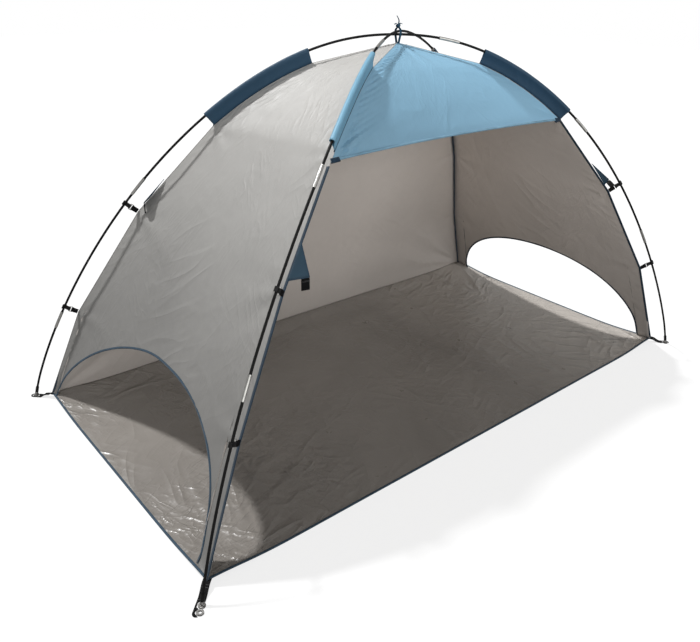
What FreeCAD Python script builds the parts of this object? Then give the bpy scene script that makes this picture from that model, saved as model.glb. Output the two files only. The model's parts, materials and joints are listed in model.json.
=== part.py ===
import FreeCAD, Part
import math
import os

from FreeCAD import Vector

# A two-pole beach shelter, pitched. Millimetres, +Z up, front edge towards -Y, origin on the
# ground at the centre of the groundsheet.

# --- groundsheet and poles -------------------------------------------------------------------
FLOOR_HALF_X = 1000.0
FLOOR_HALF_Y = 515.0
FOOT_X = 1038.0             # pole feet stand outside the groundsheet's corners
FOOT_Y = 559.0
CROSSING_Z = 1142.0         # where the two poles cross
POLE_RISE = 0.84            # height = CROSSING_Z * (1 - reach^2)^POLE_RISE
LEAN_X = -31.0              # the crossing hangs a little left of and in front of the centre
LEAN_Y = -49.0
FRONT_BOW = -30.0           # the fabric pulls the front half-poles inwards
BACK_BOW = 40.0             # and lets the back half-poles bulge outwards
POLE_R = 3.5
POLE_BORE_R = 1.7
CROSSING_GAP = 8.0          # centre distance of the two poles where pole B passes over pole A
CROSSING_SPREAD = 150.0     # the length over which each pole rises or dips to do that
SECTION_LENGTH = {          # six equal sections, then a shorter one at the back end
    "pole_a": 529.0,
    "pole_b": 514.0,
}
SECTION_COUNT = 7
SECTION_GAP = 0.4
SHOCK_CORD_R = 1.1
FERRULE_LENGTH = 62.0
FERRULE_R = 4.6
FERRULE_BORE_R = 3.8
CAP_LENGTH = 26.0           # end cap with its pin
CAP_R = 5.0
CAP_BORE_R = 3.8
CAP_LIFT = 9.0              # height of the cap's shoulder above the ground
PIN_R = 2.8
ARC_STEP = 130.0            # a pole's line is a chain of arcs no longer than this

# --- how the fabric hangs on the poles ---------------------------------------------------------
CLIP_REACH = 45.0           # pole centre to seam at a clip
SLEEVE_DEPTH = 36.0         # pole centre to seam along a sleeve
SLEEVE_START = 1125.0       # distances from the foot, along the pole
SLEEVE_END = 1470.0
SLEEVE_R = 7.2
SLEEVE_BORE_R = 6.0
PEAK_DROP = 26.0            # fabric peak below the crossing
INWARD_AIM = 0.35           # straps point to this share of the height above the floor's centre
CLIPS = {                   # lower and upper clip, distances from the foot along the pole
    "front_left": (384.0, 743.0),
    "front_right": (400.0, 781.0),
    "back_left": (358.0, 769.0),
    "back_right": (348.0, 765.0),
}
SIGNS = {
    "front_left": (-1, -1),
    "front_right": (1, -1),
    "back_left": (-1, 1),
    "back_right": (1, 1),
}

# --- fabric ------------------------------------------------------------------------------------
FABRIC = 2.0                # thickness of a panel's solid
FLOOR_THICK = 1.6
SEAM_R = 2.0                # piping along each seam
SEAM_INSET = 5.0            # panel edge to seam line
WALL_BOW = 45.0             # a side wall's middle hangs inwards this far at the floor
BACK_WALL_BOW = 14.0
ROOF_BOW = 12.0
PANEL_SHARE = 0.92          # the panels end this far up the last run to the peak
PIPING_SHARE = 0.97         # and the piping this far
WINDOWS = {                 # y of the arch's back end, crest and front end, its height, and the
    "left": (490.0, 5.0, -447.0, 320.0, 1.65, 2.7),     # superellipse exponents of its back and front
    "right": (443.0, -58.0, -463.0, 309.0, 1.9, 2.1),
}
BINDING_WIDTH = 9.0
BINDING_EXTRA = 1.0         # the binding stands proud of the wall on each side
FLOOR_BINDING = 3.0

# --- clips, tabs, straps -------------------------------------------------------------------------
WEBBING_WIDTH = 20.0        # corner straps and guy tabs
CLIP_WEBBING_WIDTH = 15.0
WEBBING = 1.5
RING_NEAR = 16.0            # the ring's two bars, measured from the pole centre towards the seam
RING_FAR = 24.0
RING_WIRE_R = 1.1
RING_HALF_WIDTH = 9.2
HOOK_WIDTH = 12.0
HOOK_IN_R = 4.1
HOOK_OUT_R = 7.0
HOOK_LIP = 4.0
EYE_BORE_R = 1.2
EYE_R = 3.4
ARM_HALF = 2.4
GUSSET_LOW = 32.0           # along the seam above the upper clip
GUSSET_HIGH = 131.0
GUSSET_TIP_AT = 50.0
GUSSET_WIDTH = 45.0
GUSSET_THICK = 1.2
GUSSET_WAY = {              # where each gusset's tip points, from the seam
    "front_left": (0.68, -0.72, -0.10),
    "front_right": (1.0, 0.0, 0.0),
    "back_left": (-0.65, -0.70, 0.10),
    "back_right": (0.75, 0.35, 0.35),
}
TAB_LENGTH = 27.0
TAB_THICK = 3.6             # two layers of webbing and the slot between them
TAB_LAYER = 1.2
TAB_SEWN = 9.0              # the layers are sewn together this far down
TAB_GAP = 0.4
TAB_WAY = {                 # three hang, the fourth is drawn towards its clip
    "front_left": (0.0, 0.0, -1.0),
    "front_right": (-0.25, -0.885, -0.39),
    "back_left": (0.0, 0.0, -1.0),
    "back_right": (0.0, 0.0, -1.0),
}
STRAP_START = 3.0           # corner strap, measured outwards from the groundsheet's corner
STRAP_PAST_FOOT = {          # one strap is longer and has a spare eyelet
    "front_left": 34.0,
    "front_right": 15.0,
    "back_left": 15.0,
    "back_right": 15.0,
}
SPARE_EYELET_CORNER = "front_left"
SPARE_EYELET_AT = 20.0      # past the foot
STRAP_Z = 1.0
EYELET_HOLE_R = 4.3
EYELET_BARREL_R = 5.0
EYELET_FLANGE_R = 9.0
EYELET_PLATE = 0.8

SAMPLES = 400               # points per half-pole when lengths are measured
UP = Vector(0, 0, 1)


# --- small helpers -------------------------------------------------------------------------------
def unit(v):
    return v * (1.0 / v.Length)


def mix(a, b, share):
    return a + (b - a) * share


def save(node, shape):
    shape.exportStep("parts/" + node + ".step")


def tube(edges, outer_r, inner_r=0.0):
    """A round bar or pipe along a chain of edges."""
    start = edges[0].valueAt(edges[0].FirstParameter)
    along = edges[0].tangentAt(edges[0].FirstParameter)
    wire = Part.Wire(edges)
    rims = [Part.Wire([Part.makeCircle(outer_r, start, along)])]
    if inner_r > 0:
        rims.append(Part.Wire([Part.makeCircle(inner_r, start, along)]))
    solids = [wire.makePipeShell([rim], True, False) for rim in rims]
    return solids[0] if len(solids) == 1 else solids[0].cut(solids[1])


def arc(a, middle, b):
    return Part.Arc(a, middle, b).toShape()


def bar(a, b, radius):
    return Part.makeCylinder(radius, (b - a).Length, a, b - a)


def rod_chain(points, radius):
    """A round cord through the points, with a ball at each bend."""
    pieces = [bar(a, b, radius) for a, b in zip(points, points[1:])]
    pieces += [Part.makeSphere(radius, p) for p in points[1:-1]]
    return pieces[0].multiFuse(pieces[1:]).removeSplitter()


def prism(points, way):
    """The flat polygon through the points, swept along way."""
    outline = Part.makePolygon(points + [points[0]])
    return Part.Face(outline).extrude(way)


# --- the poles' lines ------------------------------------------------------------------------------
def half_point(corner, reach, lift):
    """A point on one half-pole: reach is 0 at the crossing and 1 at the foot."""
    side, depth = SIGNS[corner]
    foot = Vector(side * FOOT_X, depth * FOOT_Y, 0)
    outward = unit(Vector(side * FOOT_Y, -depth * FOOT_X, 0))
    rise = (1.0 - reach * reach) ** POLE_RISE
    bow = (FRONT_BOW if depth < 0 else BACK_BOW) * math.sin(math.pi * reach) ** 2
    point = foot * reach + outward * bow + Vector(LEAN_X, LEAN_Y, 0) * rise
    near = math.exp(-((reach * foot.Length / CROSSING_SPREAD) ** 2))
    point.z = CROSSING_Z * rise + lift * near
    return point


def pole_line(first, last, lift):
    """Points along a whole pole and their distances from its first foot."""
    quarter = [math.pi / 2 * i / SAMPLES for i in range(SAMPLES + 1)]
    points = [half_point(first, math.cos(a), lift) for a in quarter]
    points += [half_point(last, math.cos(a), lift) for a in reversed(quarter[:-1])]
    run = [0.0]
    for a, b in zip(points, points[1:]):
        run.append(run[-1] + (b - a).Length)
    return points, run


def on_line(line, distance):
    points, run = line
    low, high = 0, len(run) - 1
    while high - low > 1:
        middle = (low + high) // 2
        if run[middle] <= distance:
            low = middle
        else:
            high = middle
    return mix(points[low], points[high], (distance - run[low]) / (run[high] - run[low]))


def path_on(line, start, end):
    """A stretch of a pole's line as a chain of arcs."""
    count = math.ceil((end - start) / ARC_STEP)
    stops = [start + (end - start) * i / (2 * count) for i in range(2 * count + 1)]
    points = [on_line(line, stop) for stop in stops]
    return [arc(*points[i:i + 3]) for i in range(0, 2 * count, 2)]


# Pole A runs from the front right to the back left, and pole B from the front left to the back
# right, over it.
POLES = {
    "pole_a": pole_line("front_right", "back_left", -CROSSING_GAP / 2),
    "pole_b": pole_line("front_left", "back_right", CROSSING_GAP / 2),
}
HALVES = {                  # corner: the pole's line, measured from that corner's foot
    "front_right": POLES["pole_a"],
    "front_left": POLES["pole_b"],
    "back_left": pole_line("back_left", "front_right", -CROSSING_GAP / 2),
    "back_right": pole_line("back_right", "front_left", CROSSING_GAP / 2),
}
CROSSING = Vector(LEAN_X, LEAN_Y, CROSSING_Z)
PEAK = CROSSING - UP * PEAK_DROP


def axes_at(corner, distance):
    """Pole point, tangent up the pole, and the inward direction square to it."""
    line = HALVES[corner]
    step = 2.0
    point = on_line(line, distance)
    along = unit(on_line(line, distance + step) - on_line(line, distance - step))
    aim = UP * (INWARD_AIM * CROSSING_Z) - point
    inward = unit(aim - along * aim.dot(along))
    return point, along, inward


def clip_seam_point(corner, distance):
    point, _, inward = axes_at(corner, distance)
    return point + inward * CLIP_REACH


def sleeve_seam_points(corner):
    steps = 4
    found = []
    for i in range(steps + 1):
        distance = SLEEVE_START + (SLEEVE_END - SLEEVE_START) * i / steps
        point, _, inward = axes_at(corner, distance)
        found.append(point + inward * SLEEVE_DEPTH)
    return found


def seam(corner):
    """The seam's corners from the groundsheet to the peak."""
    side, depth = SIGNS[corner]
    ground = Vector(side * FLOOR_HALF_X, depth * FLOOR_HALF_Y, FLOOR_THICK + SEAM_R)
    clips = [clip_seam_point(corner, distance) for distance in CLIPS[corner]]
    return [ground] + clips + sleeve_seam_points(corner) + [PEAK]


SEAMS = {corner: seam(corner) for corner in SIGNS}


# --- fabric panels ---------------------------------------------------------------------------------
def panel_stations(first, second, start):
    """Pairs of seam points, from seam corner number start up to just below the peak."""
    pairs = list(zip(SEAMS[first], SEAMS[second]))[start:-1]
    near_peak = [mix(point, PEAK, PANEL_SHARE) for point in pairs[-1]]
    return pairs + [tuple(near_peak)]


def panel(first, second, bow, start=0, proud=0.0):
    """The panel between two seams: a ruled shell whose middle hangs inwards by bow at the floor."""
    stations = panel_stations(first, second, start)
    centres = [mix(a, b, 0.5) for a, b in stations]
    wires = []
    for i, (a, b) in enumerate(stations):
        below = centres[max(i - 1, 0)]
        above = centres[min(i + 1, len(centres) - 1)]
        across = unit(b - a)
        normal = across.cross(above - below)
        if i == 0 and start == 0:
            normal.z = 0
        normal = unit(normal)
        if normal.dot(centres[i] - UP * (INWARD_AIM * CROSSING_Z)) < 0:
            normal = normal * -1.0
        hang = bow * (1.0 - (centres[i].z / PEAK.z) ** 2)
        left = a + across * SEAM_INSET
        right = b - across * SEAM_INSET
        middle = centres[i] - normal * max(hang, 1.0)
        out = normal * proud
        back = normal * -(FABRIC + proud)
        outer = arc(left + out, middle + out, right + out)
        inner = arc(right + back, middle + back, left + back)
        ends = [Part.makeLine(right + out, right + back), Part.makeLine(left + back, left + out)]
        wires.append(Part.Wire([outer, ends[0], inner, ends[1]]))
    return Part.makeLoft(wires, True, True)


def arch_prism(grow, side):
    """The arched window, grown by grow all round, as a prism through one side wall."""
    back, crest, front, height, back_power, front_power = WINDOWS["right" if side > 0 else "left"]
    steps = 16
    points = []
    for i in range(steps + 1):
        turn = math.pi * i / steps
        end, power = (back + grow, back_power) if 2 * i < steps else (front - grow, front_power)
        y = crest + (end - crest) * abs(math.cos(turn)) ** (2 / power)
        points.append(Vector(0, y, math.sin(turn) ** (2 / power) * (height + grow)))
    curve = Part.BSplineCurve()
    curve.interpolate(points)
    drop = Vector(0, 0, -FLOOR_HALF_Y)
    sides = Part.makePolygon([points[-1], points[-1] + drop, points[0] + drop, points[0]])
    outline = Part.Wire([curve.toShape()] + sides.Edges)
    solid = Part.Face(outline).extrude(Vector(FOOT_X, 0, 0))
    solid.translate(Vector(0 if side > 0 else -FOOT_X, 0, 0))
    return solid


def side_wall(name, first, second, side):
    wall = panel(first, second, WALL_BOW)
    hole = arch_prism(0, side)
    outer = arch_prism(BINDING_WIDTH, side)
    save(name + "_wall", wall.cut(outer))
    tape = panel(first, second, WALL_BOW, proud=BINDING_EXTRA)
    save(name + "_window_binding", tape.common(outer).cut(hole))


def make_fabric():
    floor = Part.makeBox(2 * FLOOR_HALF_X, 2 * FLOOR_HALF_Y, FLOOR_THICK)
    floor.translate(Vector(-FLOOR_HALF_X, -FLOOR_HALF_Y, 0))
    save("groundsheet", floor)
    save("groundsheet_binding", Part.makeCompound(floor_binding()))
    side_wall("left", "front_left", "back_left", -1)
    side_wall("right", "front_right", "back_right", 1)
    save("back_wall", panel("back_left", "back_right", BACK_WALL_BOW))
    save("roof_panel", panel("front_left", "front_right", ROOF_BOW, start=3))
    for corner in SIGNS:
        points = SEAMS[corner][:-1]
        points.append(mix(points[-1], PEAK, PIPING_SHARE))
        save("seam_binding_" + corner, rod_chain(points, SEAM_R))


def floor_binding():
    """Three straight strips along the groundsheet's front and side edges."""
    gap = 0.2
    height = FLOOR_THICK + gap
    front = Part.makeBox(2 * FLOOR_HALF_X, FLOOR_BINDING, height)
    front.translate(Vector(-FLOOR_HALF_X, -FLOOR_HALF_Y - gap - FLOOR_BINDING, 0))
    strips = [front]
    for side in (-1, 1):
        strip = Part.makeBox(FLOOR_BINDING, 2 * FLOOR_HALF_Y, height)
        near = FLOOR_HALF_X + gap if side > 0 else -FLOOR_HALF_X - gap - FLOOR_BINDING
        strip.translate(Vector(near, -FLOOR_HALF_Y, 0))
        strips.append(strip)
    return strips


# --- sleeves -----------------------------------------------------------------------------------------
def sleeve(corner):
    """A fabric tube round the pole with a flat web that reaches down to the seam."""
    line = HALVES[corner]
    ring = tube(path_on(line, SLEEVE_START, SLEEVE_END), SLEEVE_R, SLEEVE_BORE_R)
    web_in = SLEEVE_R - 0.5
    web_out = SLEEVE_DEPTH - SEAM_R - 0.6
    edges = []
    for reach in (web_in, web_out):
        row = []
        for distance in (SLEEVE_START, (SLEEVE_START + SLEEVE_END) / 2, SLEEVE_END):
            point, _, inward = axes_at(corner, distance)
            row.append(point + inward * reach)
        edges.append(row)
    near, far = edges
    outline = Part.Wire([
        arc(*near),
        Part.makeLine(near[2], far[2]),
        arc(far[2], far[1], far[0]),
        Part.makeLine(far[0], near[0]),
    ])
    surface = Part.makeFilledFace(outline.Edges)
    _, along, inward = axes_at(corner, (SLEEVE_START + SLEEVE_END) / 2)
    across = unit(along.cross(inward)) * FABRIC
    web = surface.extrude(across)
    web.translate(across * -0.5)
    return ring.fuse(web).removeSplitter()


# --- poles ---------------------------------------------------------------------------------------------
def make_pole(name, line, ends):
    """Seven tubes, six ferrules, the shock cord inside, and a capped pin at each end."""
    length = line[1][-1]
    joints = [SECTION_LENGTH[name] * i for i in range(SECTION_COUNT)] + [length]
    joints[0] = CAP_LIFT + SECTION_GAP
    joints[-1] = length - CAP_LIFT - SECTION_GAP
    ferrules = []
    cord = []
    for i in range(SECTION_COUNT):
        start = joints[i] + SECTION_GAP
        end = joints[i + 1] - SECTION_GAP
        save("%s_section_%d" % (name, i + 1), tube(path_on(line, start, end), POLE_R, POLE_BORE_R))
        cord.append(tube(path_on(line, joints[i], joints[i + 1]), SHOCK_CORD_R))
        if i > 0:
            half = FERRULE_LENGTH / 2
            path = path_on(line, joints[i] - half, joints[i] + half)
            ferrules.append(tube(path, FERRULE_R, FERRULE_BORE_R))
    save(name + "_ferrules", Part.makeCompound(ferrules))
    save(name + "_shock_cord", Part.makeCompound(cord))
    return [end_cap(corner) for corner in ends]


def end_cap(corner):
    """A metal cap over the pole's end, with a pin that stands on the ground."""
    line = HALVES[corner]
    foot = on_line(line, 0.0)
    shoulder = on_line(line, CAP_LIFT)
    along = unit(on_line(line, CAP_LIFT + CAP_LENGTH) - shoulder)
    floor = 1.4
    cap = Part.makeCylinder(CAP_R, CAP_LENGTH, shoulder - along * floor, along)
    bore = Part.makeCylinder(CAP_BORE_R, CAP_LENGTH, shoulder, along)
    pin = Part.makeCylinder(PIN_R, shoulder.z, Vector(foot.x, foot.y, 0), UP)
    return cap.cut(bore).fuse(pin).removeSplitter()


# --- clips ----------------------------------------------------------------------------------------------
def clip_parts(corner, distance):
    """Webbing strap, ring and hook of one clip."""
    point, along, inward = axes_at(corner, distance)
    across = unit(along.cross(inward))
    # strap: folded round the ring's far bar, its two layers sewn together down to the seam
    loop_in = RING_WIRE_R + 0.2
    near = RING_FAR + loop_in + WEBBING / 2
    far = CLIP_REACH - SEAM_R - 0.6
    edge = -along * (CLIP_WEBBING_WIDTH / 2)
    corner_point = point + inward * near + edge - across * WEBBING
    width = along * CLIP_WEBBING_WIDTH
    flat = prism([
        corner_point,
        corner_point + inward * (far - near),
        corner_point + inward * (far - near) + width,
        corner_point + width,
    ], across * (2 * WEBBING))
    bar_start = point + inward * RING_FAR + edge
    fold = Part.makeCylinder(loop_in + WEBBING, CLIP_WEBBING_WIDTH, bar_start, along)
    eye = Part.makeCylinder(loop_in, CLIP_WEBBING_WIDTH, bar_start, along)
    strap = flat.fuse(fold).cut(eye).removeSplitter()
    # ring: a rectangle of round wire
    reach = along * RING_HALF_WIDTH
    corners = [
        point + inward * RING_NEAR - reach,
        point + inward * RING_NEAR + reach,
        point + inward * RING_FAR + reach,
        point + inward * RING_FAR - reach,
    ]
    sides = [bar(corners[i], corners[(i + 1) % 4], RING_WIRE_R) for i in range(4)]
    balls = [Part.makeSphere(RING_WIRE_R, c) for c in corners]
    ring = sides[0].multiFuse(sides[1:] + balls).removeSplitter()
    return strap, ring, hook(point, along, inward, across)


def hook(point, along, inward, across):
    """A J of plastic: an eye on the ring's near bar, an arm, and a jaw open on one side round the pole."""
    base = point - along * (HOOK_WIDTH / 2)
    eye_centre = base + inward * RING_NEAR
    width = along * HOOK_WIDTH
    eye = Part.makeCylinder(EYE_R, HOOK_WIDTH, eye_centre, along)
    jaw = Part.makeCylinder(HOOK_OUT_R, HOOK_WIDTH, base, along)
    throat = Part.makeCylinder(HOOK_IN_R, HOOK_WIDTH, base, along)
    wide = 3 * HOOK_OUT_R
    open_side = prism([
        base - inward * wide - across * 0.5,
        base + inward * wide - across * 0.5,
        base + inward * wide - across * wide,
        base - inward * wide - across * wide,
    ], width)
    jaw = jaw.cut(throat).cut(open_side)
    lip = prism([
        base - inward * HOOK_IN_R,
        base - inward * HOOK_OUT_R,
        base - inward * HOOK_OUT_R - across * (HOOK_LIP - 1.0),
        base - inward * (HOOK_OUT_R - 1.0) - across * HOOK_LIP,
        base - inward * HOOK_IN_R - across * HOOK_LIP,
    ], width)
    arm_in = base + inward * (HOOK_IN_R + 0.3)
    arm_out = base + inward * RING_NEAR
    arm = prism([
        arm_in - across * 0.5,
        arm_out - across * ARM_HALF,
        arm_out + across * ARM_HALF,
        arm_in + across * (ARM_HALF + 1.0),
    ], width)
    body = jaw.multiFuse([lip, arm, eye])
    bore = Part.makeCylinder(EYE_BORE_R, HOOK_WIDTH, eye_centre, along)
    return body.cut(bore).removeSplitter()


# --- guy-out gussets and tabs -------------------------------------------------------------------------
def gusset_frame(corner):
    """Two points on the seam and the tip, of the triangle above the upper clip."""
    clip = SEAMS[corner][2]
    up_seam = unit(SEAMS[corner][3] - clip)
    way = unit(Vector(*GUSSET_WAY[corner]))
    off = unit(way - up_seam * way.dot(up_seam)) * (SEAM_R + 0.5)
    low = clip + up_seam * GUSSET_LOW + off
    high = clip + up_seam * GUSSET_HIGH + off
    tip = clip + up_seam * GUSSET_TIP_AT + way * GUSSET_WIDTH
    return low, high, tip


def gusset(corner):
    low, high, tip = gusset_frame(corner)
    normal = unit((high - low).cross(tip - low))
    body = prism([low, high, tip], normal * GUSSET_THICK)
    body.translate(normal * (-GUSSET_THICK / 2))
    return body


def tab_frame(corner):
    """The tab's two top corners, under the gusset's lower edge, and the way it hangs."""
    low, _, tip = gusset_frame(corner)
    edge = unit(low - tip)
    way = unit(Vector(*TAB_WAY[corner]))
    off = way * (GUSSET_THICK / 2 + TAB_GAP + TAB_THICK / 2)
    return tip + off, tip + edge * WEBBING_WIDTH + off, way


def guy_tab(corner):
    """A folded loop of webbing, sewn at the top and open below for a guy line."""
    first, second, way = tab_frame(corner)
    normal = unit((second - first).cross(way))
    body = tab_layer(first, second, way * TAB_LENGTH, normal * TAB_THICK)
    top = way * TAB_SEWN
    slot_length = TAB_LENGTH - TAB_SEWN - TAB_LAYER
    slot = tab_layer(first + top, second + top, way * slot_length, normal * (TAB_THICK - 2 * TAB_LAYER))
    return body.cut(slot)


def tab_layer(first, second, down, thick):
    """A box hanging from the line between two points, its thickness centred on them."""
    layer = prism([first, second, second + down, first + down], thick)
    layer.translate(thick * -0.5)
    return layer


# --- corner straps ---------------------------------------------------------------------------------------
def strap_line(corner):
    """The groundsheet's corner, the pole's foot and the way from one to the other."""
    side, depth = SIGNS[corner]
    ground = Vector(side * FLOOR_HALF_X, depth * FLOOR_HALF_Y, 0)
    foot = Vector(side * FOOT_X, depth * FOOT_Y, 0)
    return ground, foot, unit(foot - ground)


def eyelet_places(corner):
    """The middles of a strap's eyelets on the ground."""
    _, foot, out = strap_line(corner)
    if corner == SPARE_EYELET_CORNER:
        return [foot, foot + out * SPARE_EYELET_AT]
    return [foot]


def corner_strap(corner):
    """Flat webbing from the groundsheet's corner past the pole's foot, holed for its eyelets."""
    ground, foot, out = strap_line(corner)
    lift = UP * STRAP_Z
    across = UP.cross(out) * (WEBBING_WIDTH / 2)
    start = ground + lift + out * (STRAP_START + WEBBING_WIDTH / 2)
    end = foot + lift + out * (STRAP_PAST_FOOT[corner] - WEBBING_WIDTH / 2)
    strap = prism([start - across, end - across, end + across, start + across], UP * WEBBING)
    strap = strap.fuse(Part.makeCylinder(WEBBING_WIDTH / 2, WEBBING, end))
    for place in eyelet_places(corner):
        strap = strap.cut(Part.makeCylinder(EYELET_BARREL_R + 0.1, WEBBING, place + lift))
    return strap.removeSplitter()


def eyelet(place):
    """A rolled metal eyelet through a strap."""
    gap = 0.1
    bottom = STRAP_Z - gap - EYELET_PLATE
    top = STRAP_Z + WEBBING + gap
    lower = Part.makeCylinder(EYELET_FLANGE_R, EYELET_PLATE, place + UP * bottom)
    upper = Part.makeCylinder(EYELET_FLANGE_R, EYELET_PLATE, place + UP * top)
    height = top + EYELET_PLATE - bottom
    barrel = Part.makeCylinder(EYELET_BARREL_R, height, place + UP * bottom)
    hole = Part.makeCylinder(EYELET_HOLE_R, height, place + UP * bottom)
    return lower.multiFuse([upper, barrel]).cut(hole).removeSplitter()


# --- apex tie ----------------------------------------------------------------------------------------------
def apex_tie():
    """A tape from the fabric's peak round both poles, knotted on top, with two short ends."""
    tape_half = 4.0
    tape = 1.6
    side = 9.5
    knot_z = CROSSING.z + 15.0
    shift = Vector(-tape_half, 0, 0)
    outer = [
        PEAK + UP * 1.0,
        CROSSING + Vector(0, side, -9.0),
        CROSSING + Vector(0, side, 8.0),
        Vector(CROSSING.x, CROSSING.y, knot_z),
        CROSSING + Vector(0, -side, 8.0),
        CROSSING + Vector(0, -side, -9.0),
    ]
    inner = [
        PEAK + UP * (1.0 + 4 * tape),
        CROSSING + Vector(0, side - tape, -8.6),
        CROSSING + Vector(0, side - tape, 7.6),
        Vector(CROSSING.x, CROSSING.y, knot_z - 1.5 * tape),
        CROSSING + Vector(0, tape - side, 7.6),
        CROSSING + Vector(0, tape - side, -8.6),
    ]
    width = Vector(2 * tape_half, 0, 0)
    loop = prism([p + shift for p in outer], width).cut(prism([p + shift for p in inner], width))
    knot = Part.makeSphere(6.0, Vector(CROSSING.x, CROSSING.y, knot_z + 2.0))
    top = Vector(CROSSING.x, CROSSING.y, knot_z + 3.0)
    long_end = bar(top, top + Vector(-5.0, 2.0, 29.0), 2.2)
    left_end = bar(top, top + Vector(-13.0, 3.0, 2.0), 2.2)
    right_end = bar(top, top + Vector(10.0, -6.0, 3.0), 2.2)
    return loop.multiFuse([knot, long_end, left_end, right_end]).removeSplitter()


# --- everything ------------------------------------------------------------------------------------------
def make_clips():
    straps = []
    rings = []
    for corner in SIGNS:
        for place, distance in zip(("lower", "upper"), CLIPS[corner]):
            strap, ring, clip_hook = clip_parts(corner, distance)
            straps.append(strap)
            rings.append(ring)
            save("hook_%s_%s" % (corner, place), clip_hook)
    save("clip_straps", Part.makeCompound(straps))
    save("clip_rings", Part.makeCompound(rings))


def main():
    os.makedirs("parts", exist_ok=True)
    make_fabric()
    tips = make_pole("pole_a", POLES["pole_a"], ("front_right", "back_left"))
    tips += make_pole("pole_b", POLES["pole_b"], ("front_left", "back_right"))
    save("pole_tips", Part.makeCompound(tips))
    make_clips()
    for corner in SIGNS:
        save("sleeve_" + corner, sleeve(corner))
        save("gusset_" + corner, gusset(corner))
        save("guy_tab_" + corner, guy_tab(corner))
        save("corner_strap_" + corner, corner_strap(corner))
    places = [place for corner in SIGNS for place in eyelet_places(corner)]
    save("corner_eyelets", Part.makeCompound([eyelet(place) for place in places]))
    save("apex_tie", apex_tie())


main()
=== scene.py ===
"""The beach shelter's looks: cloth, bindings, sleeves, webbing and finishes round the CAD frame."""
import json
import math

import bmesh
import bpy
import numpy as np
from mathutils import Matrix, Vector, noise

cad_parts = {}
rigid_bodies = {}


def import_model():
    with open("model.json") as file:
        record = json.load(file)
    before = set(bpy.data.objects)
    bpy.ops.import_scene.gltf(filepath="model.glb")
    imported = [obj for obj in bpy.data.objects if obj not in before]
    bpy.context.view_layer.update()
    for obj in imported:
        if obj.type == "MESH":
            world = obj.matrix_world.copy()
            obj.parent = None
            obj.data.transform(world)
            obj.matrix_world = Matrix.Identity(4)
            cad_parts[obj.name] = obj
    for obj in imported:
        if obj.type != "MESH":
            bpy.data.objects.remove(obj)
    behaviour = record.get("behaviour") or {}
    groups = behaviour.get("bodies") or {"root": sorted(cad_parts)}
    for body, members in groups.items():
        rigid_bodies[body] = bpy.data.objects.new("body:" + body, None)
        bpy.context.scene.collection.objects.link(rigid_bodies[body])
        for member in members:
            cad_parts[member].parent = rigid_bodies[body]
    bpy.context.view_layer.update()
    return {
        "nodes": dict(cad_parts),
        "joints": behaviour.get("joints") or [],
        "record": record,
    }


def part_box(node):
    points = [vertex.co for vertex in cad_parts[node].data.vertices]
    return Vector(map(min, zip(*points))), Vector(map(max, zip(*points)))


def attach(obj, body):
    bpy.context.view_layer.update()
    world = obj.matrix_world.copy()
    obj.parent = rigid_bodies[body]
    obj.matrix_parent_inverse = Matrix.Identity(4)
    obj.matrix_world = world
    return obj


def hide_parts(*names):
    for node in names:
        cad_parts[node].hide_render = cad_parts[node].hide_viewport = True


# --- sizes, in metres ---
CLOTH = 0.0006              # thickness of the canopy's cloth
FLOOR_CLOTH = 0.0008
WEBBING = 0.0014            # thickness of the corner straps
STITCH_HALF = 0.0085        # half the width of the rows of stitches across webbing
CORNER_LIFT = 0.015         # the straps hold the groundsheet's corners this far off the ground
LIFT_REACH = 0.13           # how far from a corner that lift is felt
SIDE_BOW = 0.045            # the side walls' middles hang inwards
BACK_BOW = 0.014
ROOF_BOW = 0.012
BACK_EDGE_RISE = 0.013      # the back wall lifts the groundsheet's back edge
BACK_EDGE_REACH = 0.10      # how far from that edge the lift is felt
FLOOR_WAVE = 0.0035         # height of the groundsheet's shallow waves
FLOOR_LOWEST = 0.0006       # the groundsheet's height where it lies flat
HEM_RISE = 0.012            # the roof's hem is a little higher in the middle
EDGE_TAPES = {"front_left": 0.010, "front_right": 0.008}    # widths of the tape folded over them
FIN_WIDTH = 0.016           # the bound seam allowance inside
WINDOW_TAPE = 0.007
CAD_BINDING = 0.009         # width of the CAD binding round each window's arch
FLOOR_TAPE = 0.007
HEM_THICK = 0.0022
SEAM_STEP = 0.012           # spacing of the points along a seam
# y of each window's crest, and the superellipse powers behind and before it
ARCHES = {"left": (0.005, 1.65, 2.7), "right": (-0.058, 1.9, 2.1)}
SLEEVE_RADIUS = 0.0072
SLEEVE_STEPS = 70
SLEEVE_TRIM = {"back_right": 0.030}     # the hidden sleeve ends sooner, behind the roof
TIP_BRIGHT = 0.014          # the pole tips are bare steel up to this height and black above
STRAP_MIDDLE = 0.00175      # height of the flat strap's middle under the pole's foot
STRAP_TWIST = {"back_left": 0.9, "front_right": 0.35}

ROWS = 190                  # rows of the canopy's grid, shared by all panels so that seams join
SIDE_COLUMNS = 116
FOOT_COLUMNS = 6            # of the side columns, this many at each end stand on the ground
BACK_COLUMNS = 210
ROOF_COLUMNS = 150
FLOOR_COLUMNS = 230
FLOOR_ROWS = 124
HEM_STATION = 3             # seam station where the roof's hem and the sleeves begin
SLEEVE_END_STATION = 7
HEM_DROP = {"front_left": 3, "front_right": 0}      # rows by which the hem's end is below that station

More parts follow.
